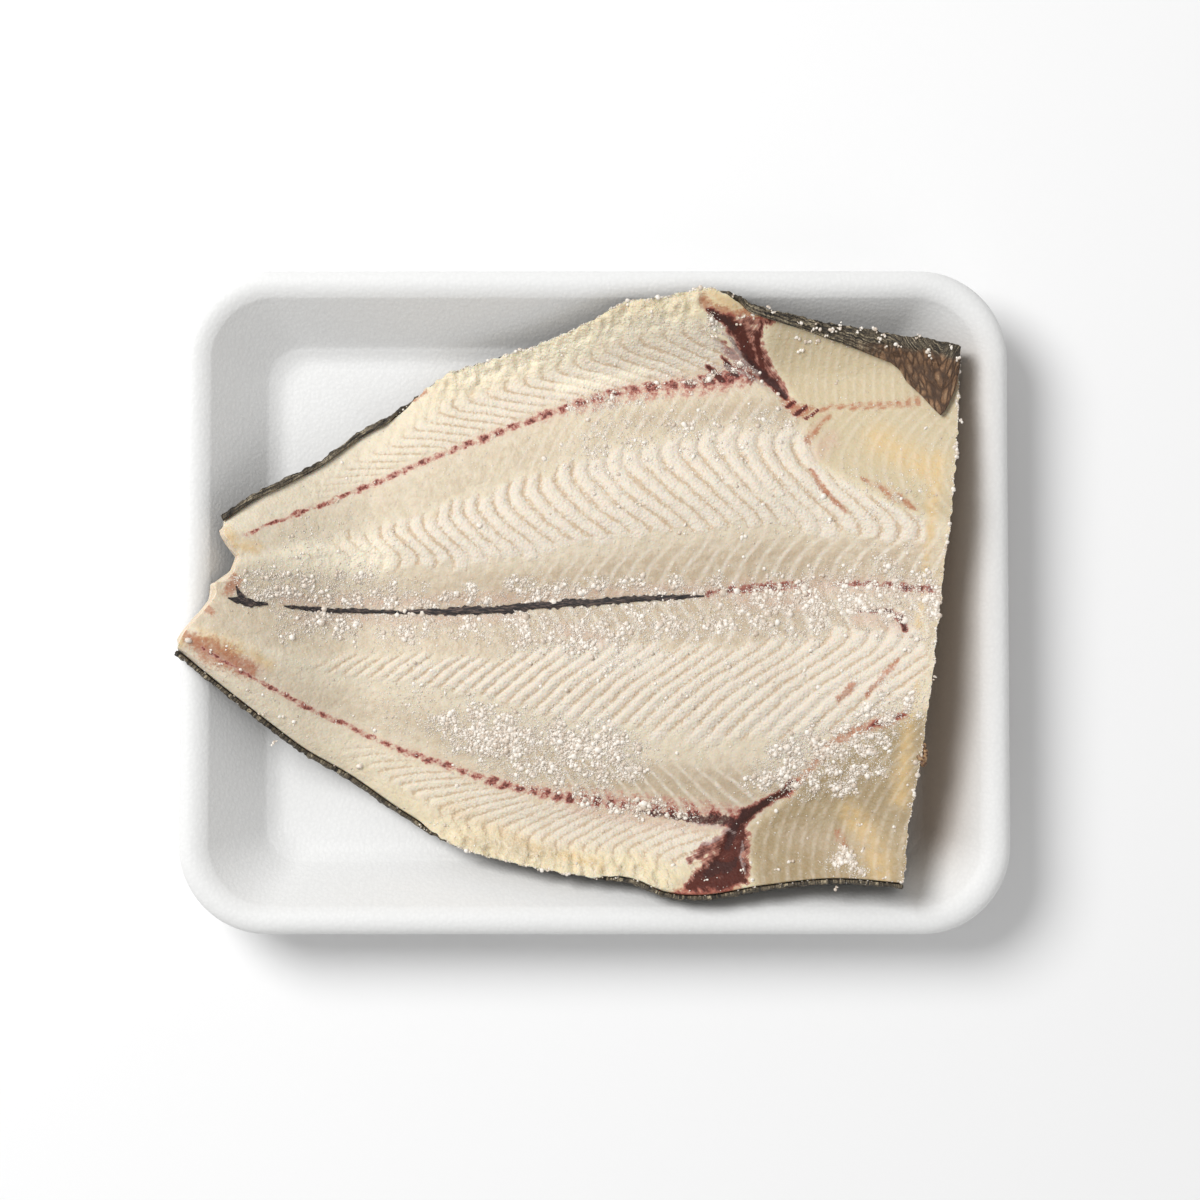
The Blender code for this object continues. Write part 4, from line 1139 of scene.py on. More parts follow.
def end_cap(flesh, below, column, way):
    """A filled end of the flesh: a grid from its top line down to its underside, a little uneven."""
    top = flesh.top[:, column]
    line = below[:, column]
    order = np.argsort(line[:, 1])
    low = np.column_stack([np.interp(top[:, 1], line[order, 1], line[order, n]) for n in range(3)])
    low[:, 1] = np.clip(top[:, 1], line[:, 1].min(), line[:, 1].max())
    shares = np.linspace(0, 1, CAP_STEPS)[:, None, None]
    grid = top + (low - top) * shares
    y, z = grid[..., 1], grid[..., 2]
    uneven = flesh.noise.spots(y, z, CAP_PATTERN)
    wander = FLAKE_WANDER * flesh.noise.spots(y, z, FLAKE_PATTERN)
    layers = (low[:, 2] - z - FLAKE_SLOPE * np.abs(y - FLAKE)) / FLAKE + wander
    stand = CAP_BULGE * uneven + FLAKE_DEPTH * np.cos(2 * np.pi * layers)
    grid[..., 0] += way * stand * np.sin(np.pi * shares[..., 0])
    faces = grid_faces(*grid.shape[:2])
    return grid.reshape(-1, 3), layers.ravel(), faces if way < 0 else faces[:, ::-1]


def make_flesh(flesh):
    """The flesh: its top, sides and underside as one closed band of rows, with the two ends filled."""
    below = flesh.below()
    band = np.concatenate([flesh.top, below[::-1]])
    points = [band.reshape(-1, 3)]
    faces = [grid_faces(*band.shape[:2], closed=0)]
    phase = np.zeros(len(points[0]))
    phase[: flesh.phase.size] = flesh.phase.ravel()
    for column, way in ((0, -1), (-1, 1)):
        cap, layers, cap_faces = end_cap(flesh, below, column, way)
        faces.append(cap_faces + len(phase))
        points.append(cap)
        phase = np.concatenate([phase, layers])
    points = np.concatenate(points)
    obj = mesh_object("cod_flesh_detailed", points, np.concatenate(faces), flesh_material())
    marks = flesh_marks(flesh)
    for name, values in marks.items():
        whole = np.full(len(points), SIDE_MARKS.get(name, 0.0))
        whole[: values.size] = values.ravel()
        add_attribute(obj, name, phase if name == "phase" else whole)
    fibre = points.copy()
    fibre[: flesh.x.size] = np.stack([flesh.phase * BLOCK, flesh.y, 0 * flesh.y], -1).reshape(-1, 3)
    add_attribute(obj, "fibre", fibre)
    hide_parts("cod_flesh")


def along_line(points, distances):
    """Points at distances along many lines. points is (steps, lines, 3), with one distance for each line."""
    lengths = np.linalg.norm(np.diff(points, axis=0), axis=2)
    total = np.concatenate([np.zeros((1, points.shape[1])), np.cumsum(lengths, axis=0)])
    found = np.empty((points.shape[1], 3))
    for line, distance in enumerate(distances):
        for axis in range(3):
            found[line, axis] = np.interp(distance, total[:, line], points[:, line, axis])
    return found


def flap_rows(flesh, below):
    """The rows of the skin that climb the upper edge and, at one corner, lie folded over the top."""
    up = np.array([0.0, 0.0, 1.0])
    side, corner = below[0], flesh.top[0]
    out = np.column_stack([flesh.upper_out, np.zeros(COLUMNS)])
    climb = np.linalg.norm(corner - side, axis=1)
    flap = np.maximum(LEAST_FLAP, np.interp(corner[:, 0], *zip(*FLAP)))
    path = np.concatenate([side[None], flesh.top[:FLAP_ROWS]])
    rows = []
    for share in np.arange(FLAP_STEPS, -1, -1) / FLAP_STEPS:
        hidden = HIDDEN_CLIMB * (1 + share) * climb
        distance = hidden + (climb + flap * share - hidden) * flesh.upper_bare
        air = FLAP_AIR * np.clip((distance - climb) / FLAP_AIR_SPAN, 0, 1)
        outwards = np.clip((climb + CORNER_SPAN - distance) / CORNER_SPAN, 0, 1)
        upwards = np.clip((distance - climb + CORNER_SPAN) / CORNER_SPAN, 0, 1)
        line = along_line(path, distance) + up * air[:, None]
        rows.append((line, out * outwards[:, None] + up * upwards[:, None]))
    return rows


def skin_rows(flesh):
    """The rows of the skin from its flap round below to the other edge, and the ways it stands off."""
    up = np.array([0.0, 0.0, 1.0])
    below = flesh.below()
    upper_out, lower_out = (
        np.column_stack([out, np.zeros(COLUMNS)]) for out in (flesh.upper_out, flesh.lower_out)
    )
    rows = flap_rows(flesh, below)
    rows.append((below[0], upper_out))
    rows.append((below[1], upper_out - up))
    rows.extend((line, -up * np.ones((COLUMNS, 1))) for line in below[2:-2])
    rows.append((below[-2], lower_out - up))
    rows.append((below[-1], lower_out))
    reach = HIDDEN_CLIMB + (1 - HIDDEN_CLIMB) * flesh.lower_bare
    for share in LOWER_CLIMB_SHARES:
        point = below[-1] + (flesh.top[-1] - below[-1]) * (reach * share)[:, None]
        turn = np.clip((flesh.lower_bare * share - TOP_TURN) / (1 - TOP_TURN), 0, 1)
        rows.append((point, lower_out + up * turn[:, None]))
    return (np.array(values) for values in zip(*rows))


def make_skin(flesh):
    """The dark skin, a thin shell that wraps the underside, the edges and, at one corner, the top."""
    points, ways = skin_rows(flesh)
    inner = points + ways * SKIN_GAP
    outer = points + ways * (SKIN_GAP + SKIN_THICKNESS)
    x, y, z = np.moveaxis(outer, -1, 0)
    z += FOLD_HEIGHT * (flesh.noise.spots(x, y + z, FOLD_PATTERN) - 0.5)
    ragged = flesh.noise.spots(x, y + z, RAGGED_PATTERN) - RAGGED_LEVEL
    outer += ways * (STRIP_RAGGED * ragged)[..., None]
    run = np.cumsum(np.linalg.norm(np.diff(outer, axis=0, prepend=outer[:1]), axis=2), axis=0)
    weave = np.stack([x, run, 0 * run], -1)
    band = np.concatenate([outer, inner[::-1]])
    faces = grid_faces(*band.shape[:2], closed=0)
    index = np.arange(band.size // 3).reshape(band.shape[:2])
    ends = [
        [index[i, column], index[i + 1, column], index[-2 - i, column], index[-1 - i, column]]
        for column in (0, -1)
        for i in range(len(points) - 1)
    ]
    faces = np.concatenate([faces, ends])
    obj = mesh_object("cod_skin_detailed", band.reshape(-1, 3), faces, skin_material())
    flap = np.interp(flesh.x[0], *zip(*FLAP))
    torn = 2 * flesh.noise.spots(x, y, TORN_PATTERN) - 1
    inwards = flap * np.clip(1 - np.arange(len(points)) / FLAP_STEPS, 0, 1)[:, None] + torn
    strip = np.maximum(1 - span(flap, *FLAP_NET), 1 - span(inwards, *FLAP_STREAKS))
    add_attribute(obj, "strip", np.concatenate([strip, strip[::-1]]).ravel())
    add_attribute(obj, "weave", np.concatenate([weave, weave[::-1]]).reshape(-1, 3))
    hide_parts("cod_skin")


def ring(inset_x, inset_y, radius, height):
    """A rounded rectangle of evenly placed points."""
    half = np.array([TRAY_LENGTH / 2 - inset_x, TRAY_WIDTH / 2 - inset_y]) - radius
    arcs = []
    for corner, signs in enumerate(((1, 1), (-1, 1), (-1, -1), (1, -1))):
        angles = math.pi / 2 * (corner + np.arange(TRAY_CORNER_STEPS + 1) / TRAY_CORNER_STEPS)
        arcs.append(half * signs + radius * np.stack([np.cos(angles), np.sin(angles)], -1))
    shares = np.arange(1, TRAY_SIDE_STEPS)[:, None] / TRAY_SIDE_STEPS
    points = []
    for arc, following in zip(arcs, arcs[1:] + arcs[:1]):
        points.extend((arc, arc[-1] + (following[0] - arc[-1]) * shares))
    points = np.concatenate(points)
    return np.column_stack([points, np.full(len(points), height)])


def make_tray():
    """The foam tray, its rings joined by smooth curves."""
    rings = np.array([ring(*values) for values in TRAY_RINGS])
    places = np.linspace(0, len(rings) - 1, (len(rings) - 1) * TRAY_RING_STEPS + 1)
    band = across(rings, places)
    band[..., 2] = np.maximum(band[..., 2], 0)
    faces = grid_faces(*band.shape[:2], closed=1)
    obj = mesh_object("foam_tray", band.reshape(-1, 3), faces, foam_material())
    # Painted shade: the foam beside the fish's cut end is marked darker, for the shade the fish casts into
    # the gap.
    beside = band[..., 0] - np.interp(band[..., 1], *zip(*CUT_EDGE))
    gap_shade = span(np.abs(beside), GAP_SHADE_SPAN, 0.0) * span(np.abs(band[..., 1]), *GAP_SHADE_HALF[::-1])
    add_attribute(obj, "gap_shade", gap_shade.ravel())
    edit = bmesh.new()
    edit.from_mesh(obj.data)
    edit.verts.ensure_lookup_table()
    index = np.arange(band.size // 3).reshape(band.shape[:2])
    for rim in (index[0], index[-1]):
        edit.faces.new([edit.verts[i] for i in rim])
    bmesh.ops.recalc_face_normals(edit, faces=edit.faces)
    edit.to_mesh(obj.data)
    edit.free()
    obj.data.shade_smooth()
    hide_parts("tray")


class Top:
    """Finds the point of the top that shows at a pixel of the photograph."""

    def __init__(self, flesh):
        self.points = flesh.top.reshape(-1, 3)
        self.tree = KDTree(len(self.points))
        for index, (px, py) in enumerate(zip(*photo_pixels(self.points))):
            self.tree.insert((px, py, 0), index)
        self.tree.balance()

    def at(self, px, py):
        found = self.tree.find_n((px, py, 0), NEIGHBOURS)
        weights = np.array([1 / (LEAST_DISTANCE + distance) for _, _, distance in found])
        z = float(np.dot([self.points[i][2] for _, i, _ in found], weights) / weights.sum())
        place, right, up, forward = camera_frame()
        ray = forward + (right * (px - PHOTO_SIZE / 2) + up * (PHOTO_SIZE / 2 - py)) / FOCUS
        return place + ray * ((z - place[2]) / ray[2])

    def line(self, pixels):
        return np.array([self.at(px, py) for px, py, _ in pixels])


def smooth_line(line, step):
    """Points with widths along a line of (x, y, half width), about a step apart."""
    line = np.array(line, float)
    lengths = np.concatenate([[0], np.cumsum(np.hypot(*np.diff(line[:, :2], axis=0).T))])
    places = np.linspace(0, lengths[-1], max(4, int(lengths[-1] / step)))
    return across(line, np.interp(places, lengths, np.arange(len(line))))


def make_membrane(flesh, top):
    """The black membrane: ribbons with ragged edges, lying in the groove along the middle."""
    ribbons, faces = [], []
    share = np.linspace(-1, 1, MEMBRANE_SIDES)
    side = np.arange(MEMBRANE_SIDES)
    count = 0
    for part in MEMBRANE_PARTS:
        line = smooth_line(part, MEMBRANE_STEP)
        centre = top.line(line)
        half = line[:, 2:] * PIXEL
        step = np.arange(len(centre))[:, None]
        ragged = 1 + MEMBRANE_RAGGED * (flesh.noise.spots(step, side, RAG_PATTERN) - 0.5)
        width = half * share * np.where(np.abs(share) == 1, ragged, 1)
        lift = MEMBRANE_LIFT + MEMBRANE_BULGE * (1 - share**2) * np.minimum(1, half)
        lift = lift + MEMBRANE_WAVE * (flesh.noise.spots(step, side, WAVE_PATTERN) - 0.5)
        ribbon = np.repeat(centre[:, None], MEMBRANE_SIDES, axis=1)
        ribbon[..., :2] += outward(centre[:, :2])[:, None] * width[..., None]
        ribbon[..., 2] += lift
        faces.append(grid_faces(len(centre), MEMBRANE_SIDES) + count)
        ribbons.append(ribbon.reshape(-1, 3))
        count += len(ribbons[-1])
    points, faces = np.concatenate(ribbons), np.concatenate(faces)
    obj = mesh_object("centre_membrane_detailed", points, faces, membrane_material())
    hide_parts("centre_membrane")


# Small shapes as (points, faces): an eight-sided grain and a four-sided speck.
GRAIN = (
    np.array([(1, 0, 0), (0, 1, 0), (-1, 0, 0), (0, -1, 0), (0, 0, 1), (0, 0, -1)], float) / 2,
    np.array([(0, 1, 4), (1, 2, 4), (2, 3, 4), (3, 0, 4), (1, 0, 5), (2, 1, 5), (3, 2, 5), (0, 3, 5)]),
)
SPECK = (
    np.array([(1, 1, 1), (1, -1, -1), (-1, 1, -1), (-1, -1, 1)], float) / 2,
    np.array([(0, 1, 2), (0, 3, 1), (0, 2, 3), (1, 3, 2)]),
)


def random_turns(random, count):
    """Random rotation matrices."""
    quaternions = random.normal(size=(count, 4))
    w, x, y, z = (quaternions / np.linalg.norm(quaternions, axis=1, keepdims=True)).T
    return np.array(
        [
            [1 - 2 * (y * y + z * z), 2 * (x * y - z * w), 2 * (x * z + y * w)],
            [2 * (x * y + z * w), 1 - 2 * (x * x + z * z), 2 * (y * z - x * w)],
            [2 * (x * z - y * w), 2 * (y * z + x * w), 1 - 2 * (x * x + y * y)],
        ]
    ).transpose(2, 0, 1)


def scatter(name, shape, centres, sizes, random, material):
    """Many copies of a small shape as one mesh, each turned at random."""
    points, faces = shape
    turns = random_turns(random, len(centres))
    stretch = random.uniform(*GRAIN_STRETCH, (len(centres), 1, 3))
    copies = (points[None] * stretch * sizes[:, None, None]) @ turns.transpose(0, 2, 1) + centres[:, None]
    faces = faces[None] + (np.arange(len(centres)) * len(points))[:, None, None]
    obj = mesh_object(name, copies.reshape(-1, 3), faces.reshape(-1, faces.shape[2]), material)
    add_attribute(obj, "whiteness", np.repeat(random.rand(len(centres)) ** WHITENESS_POWER, len(points)))


def pebble():
    """A rounded crystal: a cube with its edges cut off."""
    edit = bmesh.new()
    bmesh.ops.create_cube(edit, size=1)
    bmesh.ops.bevel(edit, geom=edit.edges[:], offset=PEBBLE_BEVEL, segments=1, affect="EDGES")
    bmesh.ops.triangulate(edit, faces=edit.faces)
    points = np.array([vert.co for vert in edit.verts])
    faces = np.array([[vert.index for vert in face.verts] for face in edit.faces])
    edit.free()
    return points, faces


class Salt:
    """Salt strewn over the top by how thickly it lies, and the lone grains that show."""

    def __init__(self, flesh):
        self.flesh = flesh
        self.random = np.random.RandomState(SEED)
        self.density = salt_density(flesh)
        plan = flesh.top[..., :2]
        along, width = np.gradient(plan, axis=1), np.gradient(plan, axis=0)
        self.area = np.abs(along[..., 0] * width[..., 1] - along[..., 1] * width[..., 0])

    def strewn(self, count, sizes, cover):
        """Random places and sizes for grains, more of them where the cover is thicker."""
        rows, columns = self.area.shape
        random = self.random
        chance = (self.area * cover / (self.area * cover).sum()).ravel()
        index = random.choice(chance.size, count, p=chance)
        row = index // columns + random.rand(count) - 0.5
        column = index % columns + random.rand(count) - 0.5
        size = sizes[0] + (sizes[1] - sizes[0]) * random.rand(count) ** SIZE_POWER
        places = self.flesh.surface(np.clip(row, 0, rows - 1.01), np.clip(column, 0, columns - 1.01))
        heap = random.rand(count) ** HEAP_POWER * self.density.ravel()[index]
        places[:, 2] += size * (0.5 - GRAIN_SINK) + heap * HEAP_HEIGHT
        return places, size

    def on_strips(self):
        """Random places and sizes for grains on the bare strips of skin along the edges."""
        flesh, random = self.flesh, self.random
        edges = ((flesh.upper_bare, flesh.upper_out, 0), (flesh.lower_bare, flesh.lower_out, -1))
        places = []
        for bare, way, row in edges:
            column = random.choice(COLUMNS, STRIP_SALT, p=bare / bare.sum())
            out = way[column] * (STRIP_SALT_OUT * random.rand(STRIP_SALT) + STRIP_GAP)[:, None]
            height = STRIP_GAP - STRIP_FALL * random.rand(STRIP_SALT)
            places.append(flesh.top[row][column] + np.column_stack([out, height]))
        places = np.concatenate(places)
        return places, random.uniform(*STRIP_SIZE, len(places))

    def lone_grains(self, top):
        """The grains that the photograph shows one by one, each a few crystals grown together."""
        places = top.line(LONE_GRAINS + SKIN_GRAINS)
        places[len(LONE_GRAINS) :, 2] += SKIN_GAP + SKIN_THICKNESS + FLAP_AIR
        whole = np.array([size for _, _, size in LONE_GRAINS + SKIN_GRAINS]) * PIXEL
        places = np.repeat(places, len(CLUSTER), axis=0)
        sizes = (whole[:, None] * CLUSTER).ravel()
        spread = CLUSTER_SPREAD * np.repeat(whole, len(CLUSTER))[:, None]
        places[:, :2] += spread * self.random.normal(size=(len(places), 2))
        places[:, 2] += sizes * (0.5 - GRAIN_SINK)
        return places, sizes


def make_salt(flesh, top):
    """Fine salt, larger salt among it, the lone grains, and dust where no bars show."""
    salt = Salt(flesh)
    material = salt_material()
    grains = zip(salt.strewn(*FINE_SALT, salt.density), salt.on_strips())
    scatter("salt_fine", GRAIN, *map(np.concatenate, grains), salt.random, material)
    crystal = pebble()
    for name, kind in (("salt_medium", MEDIUM_SALT), ("salt_coarse", COARSE_SALT)):
        scatter(name, crystal, *salt.strewn(*kind, salt.density), salt.random, material)
    scatter("salt_single_grains", crystal, *salt.lone_grains(top), salt.random, material)
    dust = salt.strewn(*DUST_SALT, salt_cover(flesh) * (1 - flesh.bars))
    scatter("salt_dust", SPECK, *dust, salt.random, material)


def make_crumb(top):
    """The brown crumb that sticks to the cut end."""
    places = top.line(CRUMB) + np.array([CRUMB_OUT, 0.0, -CRUMB_DROP])
    sizes = np.array([size for _, _, size in CRUMB], float)
    scatter("brown_crumb", pebble(), places, sizes, np.random.RandomState(SEED), crumb_material())


# The inputs of a colour mix that hold its share and its two colours, and the output with the colour.
MIX_INPUTS = (0, 6, 7)
MIX_RESULT = 2


class Graph:
    """Short calls for building a material's nodes, with its colour and normal as they stand so far."""

    def __init__(self, name):
        self.material = bpy.data.materials.new(name)
        self.material.use_nodes = True
        self.tree = self.material.node_tree
        self.shader = self.tree.nodes["Principled BSDF"]
        self.colour = None
        self.normal = None

    def feed(self, socket, value):
        if isinstance(value, bpy.types.NodeSocket):
            self.tree.links.new(value, socket)
        elif isinstance(value, tuple) and len(value) == 3 and socket.type == "RGBA":
            socket.default_value = (*value, 1.0)
        else:
            socket.default_value = value

    def node(self, kind, settings=None, **inputs):
        made = self.tree.nodes.new(kind)
        for key, value in (settings or {}).items():
            setattr(made, key, value)
        for key, value in inputs.items():
            self.feed(made.inputs[key], value)
        return made

    def value(self, name):
        return self.node("ShaderNodeAttribute", {"attribute_name": name}).outputs["Fac"]

    def vector(self, name):
        return self.node("ShaderNodeAttribute", {"attribute_name": name}).outputs["Vector"]

    def math(self, operation, first, second=0.0, clamp=False):
        made = self.node("ShaderNodeMath", {"operation": operation, "use_clamp": clamp})
        self.feed(made.inputs[0], first)
        self.feed(made.inputs[1], second)
        return made.outputs[0]

    def add(self, first, second):
        return self.math("ADD", first, second)

    def times(self, first, second):
        """The product of two values, kept between 0 and 1."""
        return self.math("MULTIPLY", first, second, clamp=True)

    def between(self, phase):
        """0 in the middle of each step of a number that grows along the piece, 1 where two steps meet."""
        share = self.math("FRACT", phase)
        return self.math("ABSOLUTE", self.math("SUBTRACT", self.math("MULTIPLY", share, 2.0), 1.0))

    def ramp(self, value, low, high, to_low=0.0, to_high=1.0):
        made = self.node("ShaderNodeMapRange", {"interpolation_type": "SMOOTHSTEP"}, Value=value)
        limits = (("From Min", low), ("From Max", high), ("To Min", to_low), ("To Max", to_high))
        for key, limit in limits:
            made.inputs[key].default_value = limit
        return made.outputs[0]

    def uneven(self, name, pattern, low, high, least, most):
        """A mark on the mesh, made stronger and weaker by a pattern."""
        return self.times(self.value(name), self.ramp(pattern, low, high, least, most))

    def noise(self, vector, scale, detail=3.0, roughness=0.55):
        inputs = {"Vector": vector, "Scale": scale, "Detail": detail, "Roughness": roughness}
        return self.node("ShaderNodeTexNoise", **inputs).outputs["Fac"]

    def cells(self, vector, scale, feature="F1", randomness=1.0):
        inputs = {"Vector": vector, "Scale": scale, "Randomness": randomness}
        return self.node("ShaderNodeTexVoronoi", {"feature": feature}, **inputs).outputs["Distance"]

    def vector_math(self, operation, first, second):
        made = self.node("ShaderNodeVectorMath", {"operation": operation})
        self.feed(made.inputs[0], first)
        self.feed(made.inputs[1], second)
        return made.outputs[0]

    def stretched(self, vector, scale):
        return self.vector_math("MULTIPLY", vector, scale)

    def place(self):
        """Object coordinates in millimetres."""
        made = self.node("ShaderNodeVectorMath", {"operation": "SCALE"}, Scale=1 / MM)
        self.feed(made.inputs[0], self.node("ShaderNodeTexCoord").outputs["Object"])
        return made.outputs[0]

    def paint(self, share, colour):
        """Lays a colour over what is there, by its share from 0 to 1."""
        made = self.node("ShaderNodeMix", {"data_type": "RGBA"})
        for slot, value in zip(MIX_INPUTS, (share, self.colour, colour)):
            self.feed(made.inputs[slot], value)
        self.colour = made.outputs[MIX_RESULT]

    def bump(self, height, depth):
        """Adds a relief of a depth in millimetres, for a height from 0 to 1."""
        made = self.node("ShaderNodeBump", Strength=1.0, Distance=depth * MM, Height=height)
        if self.normal is not None:
            self.feed(made.inputs["Normal"], self.normal)
        self.normal = made.outputs[0]

    def finish(self, **inputs):
        """The material, with its colour, its normal and the other inputs of its shader."""
        self.feed(self.shader.inputs["Base Color"], self.colour)
        if self.normal is not None:
            self.feed(self.shader.inputs["Normal"], self.normal)
        for key, value in inputs.items():
            self.feed(self.shader.inputs[key.replace("_", " ")], value)
        return self.material


CREAM = srgb(229, 218, 196)
BAR_WHITE = srgb(228, 218, 203)
# The grooves between the bars: the tan of their tissue with painted shade, darker still where they split
# open.
GROOVE_TAN_AND_SHADE = srgb(205, 180, 147)
SPLIT_TAN_AND_SHADE = srgb(190, 157, 120)
CLEAR = srgb(195, 177, 152)
THREAD = srgb(233, 224, 209)
YELLOW = srgb(231, 216, 179)
WALL = srgb(199, 183, 150)
AMBER = srgb(167, 147, 113)
HONEY = srgb(222, 190, 134)
PINK = srgb(207, 174, 157)
HALO = srgb(196, 150, 134)
RED = srgb(160, 82, 72)
MAROON = srgb(78, 29, 20)
PURPLE = srgb(64, 36, 33)
FILM = srgb(194, 174, 168)
RUST = srgb(176, 104, 70)
FROST = srgb(219, 205, 188)
PALE = srgb(246, 237, 215)
DIM = srgb(184, 166, 142)

SCALE_EDGE = srgb(84, 62, 46)
SCALE_DARK = srgb(122, 92, 66)
SCALE_LIGHT = srgb(158, 120, 88)
SCALE_MIDDLE = srgb(196, 164, 130)
SCALE_CREASE = srgb(70, 52, 40)
SCALE_GRIT = srgb(80, 60, 46)
STREAK_BLACK = srgb(30, 27, 24)
STREAK_BROWN = srgb(108, 96, 78)
STREAK_PALE = srgb(184, 170, 142)
STREAK_GRIT = srgb(50, 46, 41)

MEMBRANE_BLACK = srgb(34, 29, 30)
MEMBRANE_FIBRE = srgb(116, 98, 90)
FOAM_WHITE = srgb(231, 231, 230)
FOAM_SEAM = srgb(228, 228, 227)
# The colour of the painted shade on the foam beside the fish's cut end.
FOAM_PAINTED_SHADE = srgb(152, 138, 126)
SALT_CLEAR = srgb(212, 196, 179)
SALT_WHITE = srgb(247, 240, 230)
CRUMB_DARK = srgb(92, 62, 42)
CRUMB_PALE = srgb(186, 148, 108)
FLOOR_WHITE = (0.9, 0.9, 0.9)


class FleshGraph(Graph):
    """The nodes of salted flesh, painted layer by layer from the flesh itself up to the frost of salt."""

    def __init__(self):
        super().__init__("salted flesh")
        self.position = self.place()
        self.grain = self.noise(self.position, 1.0, 4.0, 0.62)
        self.rough_grain = self.ramp(self.grain, 0.3, 0.7, -0.3, 0.3)
        self.patchy = self.noise(self.position, 0.35, 2.0)
        self.blotch = self.noise(self.position, 0.09, 3.0)
        self.streak = self.noise(self.stretched(self.vector("fibre"), (1.9, 0.2, 0.4)), 1.0, 3.0, 0.6)
        self.beads = self.cells(self.position, 0.95)
        self.bars, self.walls = self.value("bars"), self.value("walls")
        self.block_edge = self.between(self.value("phase"))
        self.wall_edge = self.between(self.value("wall_phase"))
        self.clear = self.uneven("clear", self.patchy, 0.3, 0.7, 0.75, 1.1)
        self.yellow = self.uneven("yellow", self.blotch, 0.3, 0.7, 0.75, 1.15)

    def paint_ground(self):
        """Cream flesh with clear bands, a yellow belly, honey and dull stains and pale crumbly edges."""
        self.colour = CREAM
        self.paint(self.clear, CLEAR)
        self.paint(self.yellow, YELLOW)
        self.paint(self.times(self.walls, 0.9), WALL)
        self.paint(self.uneven("amber", self.blotch, 0.3, 0.6, 0.75, 1.0), AMBER)
        self.paint(self.uneven("honey", self.patchy, 0.3, 0.6, 0.3, 0.7), HONEY)
        self.paint(self.times(self.value("dim"), 0.45), DIM)
        self.paint(self.uneven("lumpy", self.grain, 0.5, 0.64, 0.0, 0.55), PALE)
        self.paint(self.ramp(self.patchy, 0.5, 0.3, 0.0, 0.16), THREAD)
        self.paint(self.ramp(self.patchy, 0.45, 0.7, 0.0, 0.18), CLEAR)

    def paint_bars(self):
        """White bars of salted muscle, with beaded grooves painted tan and darker as their shade, darkest
        where they split open, or filled with salt.
        """
        beaded = self.add(self.block_edge, self.ramp(self.beads, 0.1, 0.7, -0.2, 0.2))
        beaded = self.add(beaded, self.ramp(self.patchy, 0.3, 0.7, -0.16, 0.1))
        groove_and_shade = self.times(self.ramp(beaded, 0.58, 0.94), self.ramp(self.bars, 0.06, 0.6))
        fill = self.uneven("filled", self.patchy, 0.3, 0.6, 0.3, 1.0)
        groove_and_shade = self.times(groove_and_shade, self.ramp(fill, 0.0, 1.0, 1.0, 0.25))
        split = self.times(self.ramp(beaded, 0.86, 1.02), self.ramp(groove_and_shade, 0.2, 0.7))
        not_yellow = self.ramp(self.yellow, 0.2, 0.9, 0.85, 0.3)
        self.paint(self.times(self.ramp(self.bars, 0.1, 0.9), not_yellow), BAR_WHITE)
        # The grooves' tan tissue with painted shade, and deeper painted shade where they split open.
        self.paint(self.times(groove_and_shade, 0.45), GROOVE_TAN_AND_SHADE)
        self.paint(self.times(split, 0.42), SPLIT_TAN_AND_SHADE)
        # Paler flesh and salt, and painted light on the upper belly where its top faces the lamp.
        self.paint(self.uneven("pale", self.patchy, 0.3, 0.6, 0.4, 0.75), PALE)

    def paint_threads(self):
        """Pale threads where the blocks of the clear bands meet, and thin pale lines on the belly walls."""
        thread = self.times(self.ramp(self.block_edge, 0.5, 0.95), self.value("threads"))
        thread = self.times(thread, self.ramp(self.patchy, 0.35, 0.62, 0.25, 1.0))
        wall_line = self.times(self.ramp(self.wall_edge, 0.4, 0.95), self.walls)
        wall_line = self.times(wall_line, self.ramp(self.patchy, 0.36, 0.6, 0.15, 1.0))
        self.paint(self.times(thread, 0.75), THREAD)
        self.paint(self.times(wall_line, 0.27), THREAD)

    def paint_stains(self):
        """Pink tints, and rust that breaks into dots on the belly walls."""
        pink = self.uneven("pink", self.grain, 0.3, 0.65, 0.3, 1.0)
        rust = self.ramp(self.add(self.value("rust"), self.rough_grain), 0.2, 1.0)
        rust = self.times(rust, self.ramp(self.patchy, 0.34, 0.6, 0.75, 1.0))
        between_dots = self.times(self.walls, self.ramp(self.wall_edge, 0.25, 0.8))
        self.paint(self.times(pink, 0.7), PINK)
        self.paint(self.times(rust, self.ramp(between_dots, 0.0, 1.0, 0.8, 0.25)), RUST)

    def paint_blood(self):
        """The dots of the blood lines, dark in their middles and joined by a faint line, with their halos."""
        coarse = self.ramp(self.noise(self.position, 0.7, 2.0), 0.3, 0.65, 0.6, 1.15)
        dots = self.times(self.value("blood"), coarse)
        dots = self.times(dots, self.ramp(self.block_edge, 0.8, 0.4, 0.4, 1.0))
        rough = self.math("MULTIPLY", self.rough_grain, self.ramp(dots, 0.0, 0.4, 0.0, 0.9))
        blood = self.add(dots, rough)
        self.paint(self.ramp(blood, 0.08, 0.45, 0.0, 0.85), HALO)
        self.paint(self.ramp(blood, 0.42, 0.78, 0.0, 0.85), RED)
        self.paint(self.ramp(blood, 0.7, 1.05, 0.0, 0.8), MAROON)

